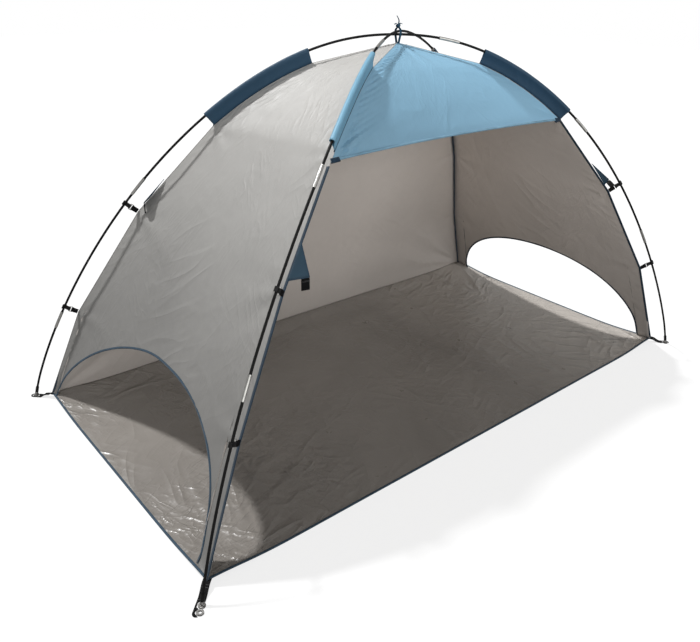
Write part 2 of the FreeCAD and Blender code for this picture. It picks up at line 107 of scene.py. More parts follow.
CANOPY_FLAT = (3.0, 1.7)
THREAD = 0.0011             # pitch of the canopy cloth's weave, and of the ribs across its tapes
STITCH = 0.0042             # pitch of the stitches along the tapes, and below it how much of that is thread
STITCH_SHARE = 0.68
STITCH_THREAD = 0.00045     # half the width of a line of stitches
FLOOR_THREAD = 0.0016
CREASES = (                 # turn in degrees, scale, how drawn out, and depth of the cloth's creases
    (38.0, 11.0, 4.0, 0.0016),
    (-52.0, 15.0, 3.5, 0.0014),
    (-40.0, 24.0, 3.0, 0.0010),
    (80.0, 26.0, 3.0, 0.0006),
)
FLOOR_CREASES = (           # the same, of the groundsheet's
    (75.0, 7.0, 3.5, 0.0050),
    (25.0, 10.0, 3.0, 0.0034),
    (-50.0, 13.0, 3.0, 0.0026),
    (100.0, 26.0, 2.5, 0.0014),
    (10.0, 34.0, 2.5, 0.0010),
)
CAMERA_PLACE = Vector((-1.529, -1.624, 1.295))
CAMERA_ANGLES = (-40.51, 26.50, -1.52)      # azimuth, elevation and roll, in degrees
CAMERA_LENS = 35.99
GROUND_GLOW = 0.76          # how white the camera sees the stage's floor
SKY_LIGHT = 0.30            # strength of the light from the white surroundings
SUNS = (                    # name, the way the light travels, strength, and angle in degrees
    ("key", (0.26, -0.52, -1.0), 3.1, 4.5),
    ("fill", (0.18, 0.95, -0.16), 2.0, 80.0),
)
CAD_LOOKS = (               # part of a CAD node's name, and the look of such nodes
    ("section", "rod"),
    ("ferrules", "steel"),
    ("pole_tips", "dull_steel"),
    ("corner_eyelets", "eyelet"),
    ("clip_rings", "bright"),
    ("hook_", "plastic"),
    ("shock_cord", "elastic"),
)
CORNERS = ("front_left", "front_right", "back_left", "back_right")
MIDDLE = Vector((0.0, 0.0, 0.4))    # a point inside, to tell outwards from inwards
UP = Vector((0.0, 0.0, 1.0))

for leftover in list(bpy.data.objects):
    bpy.data.objects.remove(leftover)
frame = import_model()


# --- reading the frame ---
def node_points(node):
    return [v.co.copy() for v in frame["nodes"][node].data.vertices]


def centre_points(node, reach):
    """Centres of the groups of vertices of a thin CAD part, lowest first."""
    left = node_points(node)
    found = []
    while left:
        near = [p for p in left if (p - left[0]).length < reach]
        left = [p for p in left if (p - left[0]).length >= reach]
        found.append(sum(near, Vector()) / len(near))
    return sorted(found, key=lambda p: p.z)


def pole_points(node):
    """Points along the middle of a pole, from the foot at +X to the foot at -X."""
    bins = {}
    for p in node_points(node):
        key = int(math.degrees(math.atan2(p.z, p.x)) / 1.5)
        bins.setdefault(key, []).append(p)
    return [sum(bins[key], Vector()) / len(bins[key]) for key in sorted(bins)]


def mix(a, b, share):
    return a + (b - a) * share


def smooth(share):
    share = min(max(share, 0.0), 1.0)
    return share * share * (3.0 - 2.0 * share)


class Line:
    """A run of points read by the distance along it."""

    def __init__(self, points):
        self.points = [p.copy() for p in points]
        self.run = [0.0]
        for a, b in zip(points, points[1:]):
            self.run.append(self.run[-1] + (b - a).length)
        self.length = self.run[-1]

    def at(self, distance):
        return hermite(self.points, self.run, distance)

    def tangent(self, distance):
        step = 0.002
        return (self.at(distance + step) - self.at(distance - step)).normalized()

    def nearest(self, place):
        steps = 400
        return min((self.length * i / steps for i in range(steps + 1)),
                   key=lambda d: (self.at(d) - place).length_squared)


def locate(knots, s):
    """The span that s lies in, and the share of it."""
    i = 0
    while i < len(knots) - 2 and knots[i + 1] <= s:
        i += 1
    return i, (s - knots[i]) / (knots[i + 1] - knots[i])


def slope(points, knots, i):
    low = max(i - 1, 0)
    high = min(i + 1, len(points) - 1)
    return (points[high] - points[low]) / (knots[high] - knots[low])


def hermite(points, knots, s):
    """A smooth curve through the points."""
    i, f = locate(knots, s)
    width = knots[i + 1] - knots[i]
    if f < 0.0 or f > 1.0:
        return mix(points[i], points[i + 1], f)
    a, b = points[i], points[i + 1]
    ta, tb = slope(points, knots, i) * width, slope(points, knots, i + 1) * width
    f2, f3 = f * f, f * f * f
    return a * (2 * f3 - 3 * f2 + 1) + ta * (f3 - 2 * f2 + f) + b * (3 * f2 - 2 * f3) + tb * (f3 - f2)


def seam_points(corner):
    """The seam's corners from the lifted floor corner to the peak."""
    points = centre_points("seam_binding_" + corner, 0.008)
    last_span = 0.97        # the CAD binding stops at this share of its last span to the peak
    points[-1] = points[-2] + (points[-1] - points[-2]) / last_span
    points[0].z = CORNER_LIFT
    return points


SEAMS = {corner: seam_points(corner) for corner in CORNERS}
PEAK = sum((SEAMS[corner][-1] for corner in CORNERS), Vector()) / len(CORNERS)
for corner in CORNERS:
    SEAMS[corner][-1] = PEAK.copy()
POLES = {pole: Line(pole_points(pole + "_shock_cord")) for pole in ("pole_a", "pole_b")}
POLE_OF = {"front_right": "pole_a", "back_left": "pole_a", "front_left": "pole_b", "back_right": "pole_b"}
EYELETS = centre_points("corner_eyelets", 0.0093)
for eyelet in EYELETS:
    eyelet.z = 0.0
FLOOR_HALF_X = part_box("groundsheet")[1].x
FLOOR_HALF_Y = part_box("groundsheet")[1].y


def shared_knots():
    """The seam stations' places from 0 to 1, averaged over the four seams."""
    runs = [Line(SEAMS[corner]).run for corner in CORNERS]
    mean = [sum(run[i] / run[-1] for run in runs) / len(runs) for i in range(len(runs[0]))]
    mean[HEM_STATION] = round(mean[HEM_STATION] * ROWS) / ROWS
    return mean


KNOTS = shared_knots()
SEAM_LENGTH = Line(SEAMS["front_left"]).length


# --- heights and creases ---
def floor_height(x, y):
    """The groundsheet's height: lifted corners and back edge, and shallow waves between."""
    corner = Vector((math.copysign(FLOOR_HALF_X, x), math.copysign(FLOOR_HALF_Y, y), 0.0))
    far = (Vector((x, y, 0.0)) - corner).length
    lift = CORNER_LIFT * math.exp(-(far / LIFT_REACH) ** 2)
    along = 1.0 - (x / FLOOR_HALF_X) ** 2
    back = BACK_EDGE_RISE * along * smooth(1.0 - (FLOOR_HALF_Y - y) / BACK_EDGE_REACH)
    wave = FLOOR_WAVE * max(noise.noise(Vector((x * 2.3, y * 3.1, 4.0))) + 0.1, 0.0)
    inside = smooth((FLOOR_HALF_X - abs(x)) / 0.1) * smooth((FLOOR_HALF_Y - abs(y)) / 0.1)
    return FLOOR_LOWEST + lift + back + wave * (0.25 + 0.75 * inside)


def ridge(p, scale, sharpness):
    """Thin raised lines, such as crumpled cloth keeps."""
    return (1.0 - abs(noise.noise(p * scale))) ** sharpness


def crumple(p, height):
    """The small creases left in cloth that was packed away."""
    shift = noise.noise_vector(p * 5.0) * 0.035
    q = p + shift
    patch = smooth(0.5 + 1.3 * noise.noise(p * 3.3 + Vector((7.0, 1.0, 3.0))))
    fine = smooth(0.5 + 1.5 * noise.noise(p * 6.0 + Vector((2.0, 9.0, 5.0))))
    broad = 1.6 * noise.noise(p * 4.2)
    lines = 0.7 * ridge(q, 9.0, 10) * patch + 0.35 * ridge(q + Vector((3.0, 5.0, 1.0)), 20.0, 8) * fine
    return height * (lines + broad)


class Fan:
    """Tension folds that spread from one point of a panel, up to reach away and spread radians aside."""

    def __init__(self, origin, toward, folds, reach, height, spread=0.9):
        self.origin = origin
        self.toward = (toward - origin).normalized()
        self.folds = folds
        self.reach = reach
        self.height = height
        self.spread = spread

    def rise(self, p, normal):
        d = p - self.origin
        r = d.length
        if r > 3.0 * self.reach or r < 1e-6:
            return 0.0
        side = normal.cross(self.toward)
        turn = math.atan2(d.dot(side), d.dot(self.toward))
        if abs(turn) > self.spread * 1.6:
            return 0.0
        wave = math.cos(self.folds * turn + 0.8 * noise.noise(p * 9.0))
        fade = math.exp(-((turn / self.spread) ** 2) * 1.6) * math.exp(-((r / self.reach) ** 2))
        return self.height * wave * fade * smooth(r / (0.3 * self.reach))


# --- mesh helpers ---
def make_object(name, points, faces, uvs=None, indices=None, flat=False):
    """A mesh object; uvs holds one pair in metres for each point."""
    mesh = bpy.data.meshes.new(name)
    mesh.from_pydata([tuple(p) for p in points], [], faces)
    if uvs is not None:
        layer = mesh.uv_layers.new(name="metres")
        corner_points = np.zeros(len(mesh.loops), np.int32)
        mesh.loops.foreach_get("vertex_index", corner_points)
        layer.data.foreach_set("uv", np.array(uvs, np.float32)[corner_points].ravel())
    if indices is not None:
        mesh.polygons.foreach_set("material_index", indices)
    mesh.polygons.foreach_set("use_smooth", [not flat] * len(mesh.polygons))
    mesh.update()
    piece = bpy.data.objects.new(name, mesh)
    bpy.context.scene.collection.objects.link(piece)
    return piece


def grid_faces(columns, rows, start=0, closed=False):
    """Quads of a grid whose points run row by row, columns + 1 points to a row."""
    width = columns if closed else columns + 1
    faces = []
    for j in range(rows):
        for i in range(columns):
            k = (i + 1) % width
            a, b = start + j * width + i, start + j * width + k
            faces.append((a, b, b + width, a + width))
    return faces


def surface(name, columns, rows, place_at, keep=lambda centre: True):
    """A grid mesh; place_at(u, v) gives a point and its uv, and keep says which faces stay."""
    points, uvs = [], []
    for j in range(rows + 1):
        for i in range(columns + 1):
            point, uv = place_at(i / columns, j / rows)
            points.append(point)
            uvs.append(uv)
    faces = [face for face in grid_faces(columns, rows) if keep(sum((points[k] for k in face), Vector()) / 4)]
    return make_object(name, points, faces, uvs)


def sweep(name, middles, outline, sides=None):
    """Carries a closed outline of (across, deep, v) along the points.

    sides[i] points across the outline; without it the outline turns as little as it can.
    """
    count, last = len(outline), len(middles) - 1
    points, uvs, run = [], [], 0.0
    first = (middles[1] - middles[0]).normalized()
    side = UP if abs(first.z) < 0.9 else Vector((1.0, 0.0, 0.0))
    for i, middle in enumerate(middles):
        way = (middles[min(i + 1, last)] - middles[max(i - 1, 0)]).normalized()
        side = sides[i] if sides else side
        side = (side - way * side.dot(way)).normalized()
        normal = way.cross(side)
        if i > 0:
            run += (middle - middles[i - 1]).length
        for across, deep, v in outline:
            points.append(middle + side * across + normal * deep)
            uvs.append((run, v))
    faces = grid_faces(count, last, closed=True)
    faces.append(tuple(range(count))[::-1])
    faces.append(tuple(range(last * count, (last + 1) * count)))
    return make_object(name, points, faces, uvs)


def tape(name, middles, sides, width, thick):
    """A flat tape with soft edges; sides[i] points across it."""
    section = [(-0.5, 0.0), (-0.46, 0.42), (-0.2, 0.5), (0.2, 0.5), (0.46, 0.42),
               (0.5, 0.0), (0.46, -0.42), (0.2, -0.5), (-0.2, -0.5), (-0.46, -0.42)]
    return sweep(name, middles, [(x * width, y * thick, x * width) for x, y in section], sides)


def rod(name, middles, radius, sides=10):
    """A round cord along the points."""
    turns = [2 * math.pi * k / sides for k in range(sides)]
    return sweep(name, middles, [(radius * math.cos(a), radius * math.sin(a), radius * a) for a in turns])


def join(name, pieces):
    """One object from several."""
    built = bmesh.new()
    for piece in pieces:
        built.from_mesh(piece.data)
        bpy.data.objects.remove(piece)
    mesh = bpy.data.meshes.new(name)
    built.to_mesh(mesh)
    built.free()
    joined = bpy.data.objects.new(name, mesh)
    bpy.context.scene.collection.objects.link(joined)
    return joined


def reshape(piece, change):
    """Passes a piece's mesh through a function as a bmesh."""
    built = bmesh.new()
    built.from_mesh(piece.data)
    change(built)
    built.to_mesh(piece.data)
    built.free()


def solidify(piece, thick, offset, inner_offset=0):
    shell = piece.modifiers.new("thickness", "SOLIDIFY")
    shell.thickness = thick
    shell.offset = offset
    shell.material_offset = inner_offset


def spaced(points, step):
    """The smooth curve through a few points, as close points."""
    line = Line(points)
    count = max(int(line.length / step), 2)
    return [line.at(line.length * i / count) for i in range(count + 1)]


# --- the canopy ---
class Panel:
    """The cloth between two seams, read by u across and s up from 0 to 1."""

    def __init__(self, first, second, bow, shape):
        self.a = SEAMS[first]
        self.b = SEAMS[second]
        self.bow = bow
        self.shape = shape
        self.fans = []
        self.puckers = []

    def ends(self, s, soft):
        if soft:
            return hermite(self.a, KNOTS, s), hermite(self.b, KNOTS, s)
        i, f = locate(KNOTS, s)
        return mix(self.a[i], self.a[i + 1], f), mix(self.b[i], self.b[i + 1], f)

    def outward(self, s):
        step = 0.02
        low = self.ends(max(s - step, 0.0), True)
        high = self.ends(min(s + step, 1.0), True)
        across = high[1] - high[0] + low[1] - low[0]
        rise = high[0] + high[1] - low[0] - low[1]
        if across.length < 1e-6:
            return UP.copy()
        normal = across.cross(rise)
        if s < 0.02:
            normal.z = 0.0
        return normal.normalized()

    def at(self, u, s):
        """Straight between its stations at the seams, rounded inside, and down on the ground at its foot."""
        a, b = self.ends(s, False)
        soft_a, soft_b = self.ends(s, True)
        inner = smooth(min(u, 1.0 - u) / 0.22)
        place = mix(mix(a, b, u), mix(soft_a, soft_b, u), inner)
        hang = self.bow * self.shape(place.z / PEAK.z) * 4.0 * u * (1.0 - u)
        place = place - self.outward(s) * hang
        if s < 0.06:
            ground = floor_height(place.x, place.y)
            place.z += (ground - place.z) * (1.0 - s / 0.06) ** 2
        return place

    def find(self, y, z):
        """u and s of the point at that y and z, on a side wall."""
        width = self.b[0].y - self.a[0].y
        rise = 1.6          # a little more than the seams climb from s = 0 to 1 at their steepest
        u, s = (y - self.a[0].y) / width, 0.0
        for _ in range(60):
            here = self.at(u, s)
            s = max(s + (z - here.z) / rise, 0.0)
            u += (y - here.y) / width
        return u, s


SIDES = {
    "left": Panel("back_left", "front_left", SIDE_BOW, lambda h: 1.0 - h * h),
    "right": Panel("front_right", "back_right", SIDE_BOW, lambda h: 1.0 - h * h),
}
BACK = Panel("back_right", "back_left", BACK_BOW, lambda h: 0.3 + math.sin(math.pi * min(max(h, 0.0), 1.0)))
ROOF = Panel("front_left", "front_right", ROOF_BOW, lambda h: 1.0 - h * h)


def arch_points(side):
    """y and z along one window's arch, from the first seam's foot to the second's."""
    low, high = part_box(side + "_window_binding")
    crest, back_power, front_power = ARCHES[side]
    back, front, top = high.y - CAD_BINDING, low.y + CAD_BINDING, high.z - CAD_BINDING
    count = SIDE_COLUMNS - 2 * FOOT_COLUMNS
    found = []
    for i in range(count + 1):
        turn = math.pi * i / count
        end, power = (back, back_power) if 2 * i < count else (front, front_power)
        y = crest + (end - crest) * abs(math.cos(turn)) ** (2 / power)
        base = floor_height(SIDES[side].a[0].x, end)
        found.append((y, base + abs(math.sin(turn)) ** (2 / power) * (top - base)))
    return found if SIDES[side].a[0].y > 0 else found[::-1]


def side_feet(side):
    """Where each column of a side wall starts: u and s of the ground or of the window's arch."""
    panel = SIDES[side]
    arch = [panel.find(y, z) for y, z in arch_points(side)]
    arch[0] = (arch[0][0], 0.0)
    arch[-1] = (arch[-1][0], 0.0)
    feet = [(arch[0][0] * i / FOOT_COLUMNS, 0.0) for i in range(FOOT_COLUMNS)]
    feet += arch
    feet += [(1.0 - (1.0 - arch[-1][0]) * i / FOOT_COLUMNS, 0.0) for i in reversed(range(FOOT_COLUMNS))]
    return feet


def straight_feet(columns):
    return [(i / columns, 0.0) for i in range(columns + 1)]


def hem_start(corner):
    """The place on the seam where the roof's hem ends."""
    return KNOTS[HEM_STATION] - HEM_DROP[corner] / ROWS


def roof_places():
    """u and s of the roof's grid, row by row; its edges keep to the rows of the side walls."""
    left, right = hem_start("front_left"), hem_start("front_right")
    places = []
    for j in range(round((1.0 - left) * ROWS) + 1):
        at_left = left + j / ROWS
        at_right = max(at_left, right)
        for i in range(ROOF_COLUMNS + 1):
            u = i / ROOF_COLUMNS
            rise = HEM_RISE / SEAM_LENGTH * 4.0 * u * (1.0 - u)
            share = (1.0 - at_left) / (1.0 - left)
            places.append((u, mix(at_left, at_right, u) + rise * share))
    return places


def wall_places(feet):
    """u and s of a wall's grid, row by row, from its lower edge to the peak."""
    columns = len(feet) - 1
    places = []
    for j in range(ROWS + 1):
        share = j / ROWS
        for i, (u0, s0) in enumerate(feet):
            u = mix(u0, i / columns, smooth(share * 1.4))
            places.append((u, s0 + (1.0 - s0) * share))
    return places


def panel_grid(panel, plain, columns):
    """Points of one panel, row by row, with the creases raised on them."""
    rows = len(plain) // (columns + 1) - 1
    base = [panel.at(u, s) for u, s in plain]
    width = columns + 1
    points = []
    for k, place in enumerate(base):
        j, i = divmod(k, width)
        u, s = plain[k]
        right = base[k + 1 if i < columns else k]
        left = base[k - 1 if i > 0 else k]
        above = base[k + width if j < rows else k]
        below = base[k - width if j > 0 else k]
        normal = (right - left).cross(above - below)
        across = (panel.at(1.0, s) - panel.at(0.0, s)).length
        edge = min(u, 1.0 - u) * across
        fade = smooth(edge / 0.03) * smooth((1.0 - s) / 0.05)
        if s < 0.05:
            fade *= smooth(s / 0.05) if panel is BACK else 1.0
        if fade > 0.0 and normal.length > 1e-12:
            normal.normalize()
            rise = crumple(place, 0.0015) + sum(fan.rise(place, normal) for fan in panel.fans)
            rise += sum(pucker.rise(u, s, across) for pucker in panel.puckers)
            place = place + normal * (rise * fade)
        points.append(place)
    return points


class Pucker:
    """Short slanted folds along a gathered seam."""

    def __init__(self, at_first, spacing, slant, reach, height):
        self.at_first = at_first
        self.spacing = spacing
        self.slant = slant
        self.reach = reach
        self.height = height

    def rise(self, u, s, across):
        far = (u if self.at_first else 1.0 - u) * across
        along = s * SEAM_LENGTH
        phase = (along - self.slant * far) / self.spacing
        phase += 0.5 * noise.noise(Vector((along * 9.0, far * 9.0, 0.0)))
        uneven = 0.6 + 0.8 * noise.noise(Vector((along * 6.0, 5.0, 1.0)))
        fade = math.exp(-((far / self.reach) ** 2)) * smooth(far / 0.012)
        return self.height * uneven * fade * math.sin(2 * math.pi * phase)


def add_fans():
    """Folds run from each clip, sleeve end and corner into the cloth."""
    for panel in (SIDES["left"], SIDES["right"], BACK):
        for seam in (panel.a, panel.b):
            for station, height, reach in ((1, 0.0020, 0.16), (2, 0.0028, 0.20), (3, 0.0016, 0.14)):
                target = panel.at(0.5, KNOTS[station] * 0.8)
                panel.fans.append(Fan(seam[station], target, 7.0, reach, height))
        panel.puckers = [Pucker(True, 0.042, 0.8, 0.045, 0.0010), Pucker(False, 0.042, 0.8, 0.045, 0.0010)]
    BACK.fans += [
        Fan(BACK.a[0], BACK.at(0.45, 0.30), 17.0, 0.46, 0.0075, 0.75),
        Fan(BACK.b[0], BACK.at(0.55, 0.30), 13.0, 0.34, 0.0050, 0.75),
        Fan(BACK.a[HEM_STATION], BACK.at(0.4, 0.25), 11.0, 0.34, 0.0045, 0.6),
    ]
    hem = KNOTS[HEM_STATION]
    ROOF.puckers = [Pucker(True, 0.034, 0.9, 0.085, 0.0030), Pucker(False, 0.045, 0.8, 0.05, 0.0012)]
    ROOF.fans = [
        Fan(ROOF.a[HEM_STATION], ROOF.at(0.42, hem + 0.09), 13.0, 0.22, 0.0045, 0.55),
        Fan(ROOF.b[HEM_STATION], ROOF.at(0.6, hem + 0.06), 9.0, 0.16, 0.0022, 0.6),
        Fan(PEAK, ROOF.at(0.55, hem + 0.1), 11.0, 0.14, 0.0020, 0.9),
    ]


def make_canopy():
    """The walls and the roof as one sheet, joined along the seams."""
    parts = [
        (SIDES["left"], wall_places(side_feet("left")), SIDE_COLUMNS, 0),
        (SIDES["right"], wall_places(side_feet("right")), SIDE_COLUMNS, 0),
        (BACK, wall_places(straight_feet(BACK_COLUMNS)), BACK_COLUMNS, 0),
        (ROOF, roof_places(), ROOF_COLUMNS, 1),
    ]
    points, faces, uvs, indices = [], [], [], []
    for panel, plain, columns, index in parts:
        grid = panel_grid(panel, plain, columns)
        added = grid_faces(columns, len(plain) // (columns + 1) - 1, len(points))
        faces += added
        indices += [index] * len(added)
        points += grid
        width = (panel.b[0] - panel.a[0]).length
        uvs += [(u * width, s * CANOPY_FLAT[1]) for u, s in plain]
    canopy = make_object("canopy", points, faces, uvs, indices)
    reshape(canopy, weld)
    solidify(canopy, CLOTH, -1.0, 2)        # the inner faces take the lining's slots
    return canopy, hem_rows(grid, plain)        # of the roof, which is the last of the parts


def weld(built):
    """Joins the panels along the seams, which stay sharp."""
    bmesh.ops.remove_doubles(built, verts=built.verts, dist=0.00005)
    bmesh.ops.dissolve_degenerate(built, edges=built.edges, dist=0.00001)
    for edge in built.edges:
        if len(edge.link_faces) == 2 and edge.calc_face_angle(0.0) > math.radians(28):
            edge.smooth = False


def hem_rows(grid, plain):
    """The roof's lower edge, then the points on the cloth one row's rise above it."""
    width = ROOF_COLUMNS + 1
    low, high = grid[:width], []
    for i in range(width):
        wanted = plain[i][1] + 1.0 / ROWS
        k = i
        while plain[k + width][1] < wanted:
            k += width
        share = (wanted - plain[k][1]) / (plain[k + width][1] - plain[k][1])
        high.append(mix(grid[k], grid[k + width], share))
    return low + high


# --- the groundsheet ---
def floor_point(x, y):
    high, narrow = 0.0012, 0.006        # of the lines kept from how it was folded
    fold = 0.0
    for k in (-0.62, -0.02, 0.6):
        fold += high * math.exp(-abs(x - k - 0.01 * noise.noise(Vector((y * 4, k, 0)))) / narrow)
    fold += high * math.exp(-abs(y - 0.06 - 0.008 * noise.noise(Vector((x * 4, 2.0, 0)))) / narrow)
    near_edge = smooth((FLOOR_HALF_X - abs(x)) / 0.03) * smooth((FLOOR_HALF_Y - abs(y)) / 0.03)
    rise = crumple(Vector((x, y, 2.0)), 0.0013) + fold
    return Vector((x, y, max(floor_height(x, y) + rise * near_edge, 0.0004)))


def make_groundsheet():
    def place_at(u, v):
        x, y = mix(-FLOOR_HALF_X, FLOOR_HALF_X, u), mix(-FLOOR_HALF_Y, FLOOR_HALF_Y, v)
        return floor_point(x, y), (x, y)

    sheet = surface("groundsheet_cloth", FLOOR_COLUMNS, FLOOR_ROWS, place_at)
    solidify(sheet, FLOOR_CLOTH, -0.4)
    return sheet


def make_floor_tape():
    """Tape folded over the front edge and both sides."""
    steps = 90
    runs = []
    for side in (-1, 1):
        x = side * (FLOOR_HALF_X - 0.001)
        row = [Vector((x, mix(-FLOOR_HALF_Y, FLOOR_HALF_Y, i / steps), 0.0)) for i in range(steps + 1)]
        runs.append((row, Vector((side, 0.0, 0.0))))
    y = -FLOOR_HALF_Y + 0.001
    row = [Vector((mix(-FLOOR_HALF_X, FLOOR_HALF_X, i / (2 * steps)), y, 0.0)) for i in range(2 * steps + 1)]
    runs.append((row, Vector((0.0, -1.0, 0.0))))
    pieces = []
    for row, out in runs:
        for p in row:
            p.z = floor_height(p.x, p.y) + 0.0004
        middles = [p - out * (FLOOR_TAPE / 2 - 0.0015) for p in row]
        pieces.append(tape("floor_tape", middles, [out] * len(row), FLOOR_TAPE, 0.0024))
    return join("groundsheet_edge_tape", pieces)


# --- tapes on the canopy ---
def inner_side(panel, u, s):
    """The way across the panel from its nearer seam."""
    step = 0.01 if u < 0.5 else -0.01
    return (panel.at(u + step, s) - panel.at(u, s)).normalized()


def seam_places(first_station, last_station):
    """Values of s between two stations, with every station among them."""
    values = []
    for i in range(first_station, last_station):
        count = max(int((KNOTS[i + 1] - KNOTS[i]) * SEAM_LENGTH / SEAM_STEP), 2)
        values += [mix(KNOTS[i], KNOTS[i + 1], k / count) for k in range(count)]
    return values + [KNOTS[last_station]]


def on_seam(corner, s):
    i, f = locate(KNOTS, s)
    return mix(SEAMS[corner][i], SEAMS[corner][i + 1], f)


def edge_tape(corner):
    """The tape folded over a front edge, in the side wall's plane."""
    side = "left" if corner == "front_left" else "right"
    panel = SIDES[side]
    u = 1.0 if corner == "front_left" else 0.0
    values = [s for s in seam_places(0, HEM_STATION) if s <= hem_start(corner)]
    ways = [inner_side(panel, u, s) for s in values]
    width = EDGE_TAPES[corner]
    middles = [on_seam(corner, s) + way * (width / 2 - 0.002) for s, way in zip(values, ways)]
    return tape("edge_tape_" + corner, middles, ways, width, 0.0026)


def inner_fin(corner, first_station, last_station):
    """The bound seam allowance that stands inwards along a seam."""
    middles, ways = [], []
    for s in seam_places(first_station, last_station):
        here = on_seam(corner, s)
        way = Vector((0.0, 0.0, here.z * 0.55)) - here
        way.z *= 0.5
        way.normalize()
        ways.append(way)
        middles.append(here + way * FIN_WIDTH / 2)
    return tape("seam_fin_" + corner, middles, ways, FIN_WIDTH, 0.0018)


def outer_seam(corner):
    """The thin felled ridge where two panels meet."""
    start = hem_start(corner) if corner.startswith("front") else 0.0
    values = [s for s in seam_places(0, len(KNOTS) - 1)[:-2] if s >= start]
    return rod("seam_ridge_" + corner, [on_seam(corner, s) for s in values], 0.0011, 8)


def window_tape(side):
    panel = SIDES[side]
    feet = side_feet(side)[FOOT_COLUMNS:-FOOT_COLUMNS]
    edge = [panel.at(u, s) for u, s in feet]
    middles, ways = [], []
    for i, here in enumerate(edge):
        way = (edge[min(i + 1, len(edge) - 1)] - edge[max(i - 1, 0)]).normalized()
        normal = panel.outward(feet[i][1])
        out = normal.cross(way)
        if out.dot(here - Vector((here.x, 0.0, 0.05))) < 0:
            out.negate()
        ways.append(out)
        middles.append(here + out * (WINDOW_TAPE / 2 - 0.002))
    return tape("window_tape_" + side, middles, ways, WINDOW_TAPE, 0.0026)


def roof_hem(points):
    """The turned and stitched hem: the roof's lowest row of cloth, three layers thick."""
    length = (ROOF.b[HEM_STATION] - ROOF.a[HEM_STATION]).length
    count = ROOF_COLUMNS + 1
    width = (points[count] - points[0]).length
    uvs = [(length * i / ROOF_COLUMNS, -0.5 * width) for i in range(count)]
    uvs += [(length * i / ROOF_COLUMNS, 0.5 * width) for i in range(count)]
    hem = make_object("roof_hem", points, grid_faces(ROOF_COLUMNS, 1), uvs)
    solidify(hem, HEM_THICK, 0.0)
    return hem


# --- sleeves ---
def sleeve_section(depth, pucker):
    """Outline of the sleeve: from the seam round the pole and back; x is inwards."""
    outline = [(depth, 0.0006), (depth * 0.8, 0.0009 + pucker * 0.5), (depth * 0.55, 0.0012 + pucker)]
    radius = SLEEVE_RADIUS * (1.0 + 10.0 * pucker)
    steps = 16
    for i in range(steps + 1):
        turn = math.radians(mix(42.0, 318.0, i / steps))
        outline.append((radius * math.cos(turn), radius * math.sin(turn)))
    outline += [(depth * 0.55, -0.0012 + pucker), (depth * 0.8, -0.0009 + pucker * 0.5), (depth, -0.0006)]
    return outline


def make_sleeve(corner):
    """Cloth sewn into the seam and wrapped round the pole, and a dark line along the seam that is partly
    painted shade.
    """
    line = POLES[POLE_OF[corner]]
    seam_line = Line(SEAMS[corner][HEM_STATION:SLEEVE_END_STATION + 1])
    cad = node_points("sleeve_" + corner)
    ends = sorted(line.nearest(p) for p in cad[::40])
    start, stop = ends[0] + 0.001, ends[-1] - 0.001 - SLEEVE_TRIM.get(corner, 0.0)
    if (line.at(start) - seam_line.points[0]).length > (line.at(stop) - seam_line.points[0]).length:
        start, stop = stop, start
    points, uvs = [], []
    for j in range(SLEEVE_STEPS + 1):
        share = j / SLEEVE_STEPS
        middle = line.at(mix(start, stop, share))
        way = line.tangent(mix(start, stop, share))
        to_seam = seam_line.at(seam_line.length * share) - middle
        inward = (to_seam - way * to_seam.dot(way)).normalized()
        across = way.cross(inward)
        depth = to_seam.dot(inward) - 0.0005
        pucker = 0.0010 * noise.noise(Vector((share * 13.0, len(corner), 0.0)))
        pucker += 0.0004 * noise.noise(Vector((share * 41.0, len(corner), 3.0)))
        section = sleeve_section(depth, pucker)
        run = 0.0
        for k, (x, y) in enumerate(section):
            if k:
                run += math.hypot(x - section[k - 1][0], y - section[k - 1][1])
            points.append(middle + inward * x + across * y)
            uvs.append((share * abs(stop - start), run))
    columns = len(section) - 1
    piece = make_object("sleeve_cloth_" + corner, points, grid_faces(columns, SLEEVE_STEPS), uvs)
    reshape(piece, lambda built: bmesh.ops.recalc_face_normals(built, faces=built.faces))
    solidify(piece, CLOTH, 0.0)
    # a dark line outside along the seam: the seam itself, and painted shade between the sleeve and the roof
    stitched = [seam_line.at(seam_line.length * k / 40) for k in range(41)]
    stitched = [p + (p - MIDDLE).normalized() * 0.0012 for p in stitched]
    return piece, rod("sleeve_seam_and_shade_" + corner, stitched, 0.0017, 8)


def roof_corner(points, first):
    """The dark patch that reinforces one end of the roof's hem."""
    count = 4
    offset = 0 if first else ROOF_COLUMNS - count
    base = points[offset:offset + count + 1]
    above = points[offset + ROOF_COLUMNS + 1:offset + ROOF_COLUMNS + count + 2]
    middles = [mix(a, b, 0.35) for a, b in zip(base, above)]
    ways = [(b - a).normalized() for a, b in zip(base, above)]
    return tape("hem_patch_" + ("left" if first else "right"), middles, ways, 0.013, 0.0042)


# --- gussets, guy loops, straps and the tie ---
def gusset_corners(corner):
    """Low and high points on the seam, and the tip, of the CAD triangle."""
    found = centre_points("gusset_" + corner, 0.004)
    seam_line = Line(SEAMS[corner])
    found.sort(key=lambda p: min((seam_line.at(seam_line.length * i / 200) - p).length for i in range(201)))
    tip = found[2]
    on = [seam_line.at(seam_line.nearest(p)) for p in found[:2]]
    on.sort(key=lambda p: p.z)
    return on[0], on[1], tip


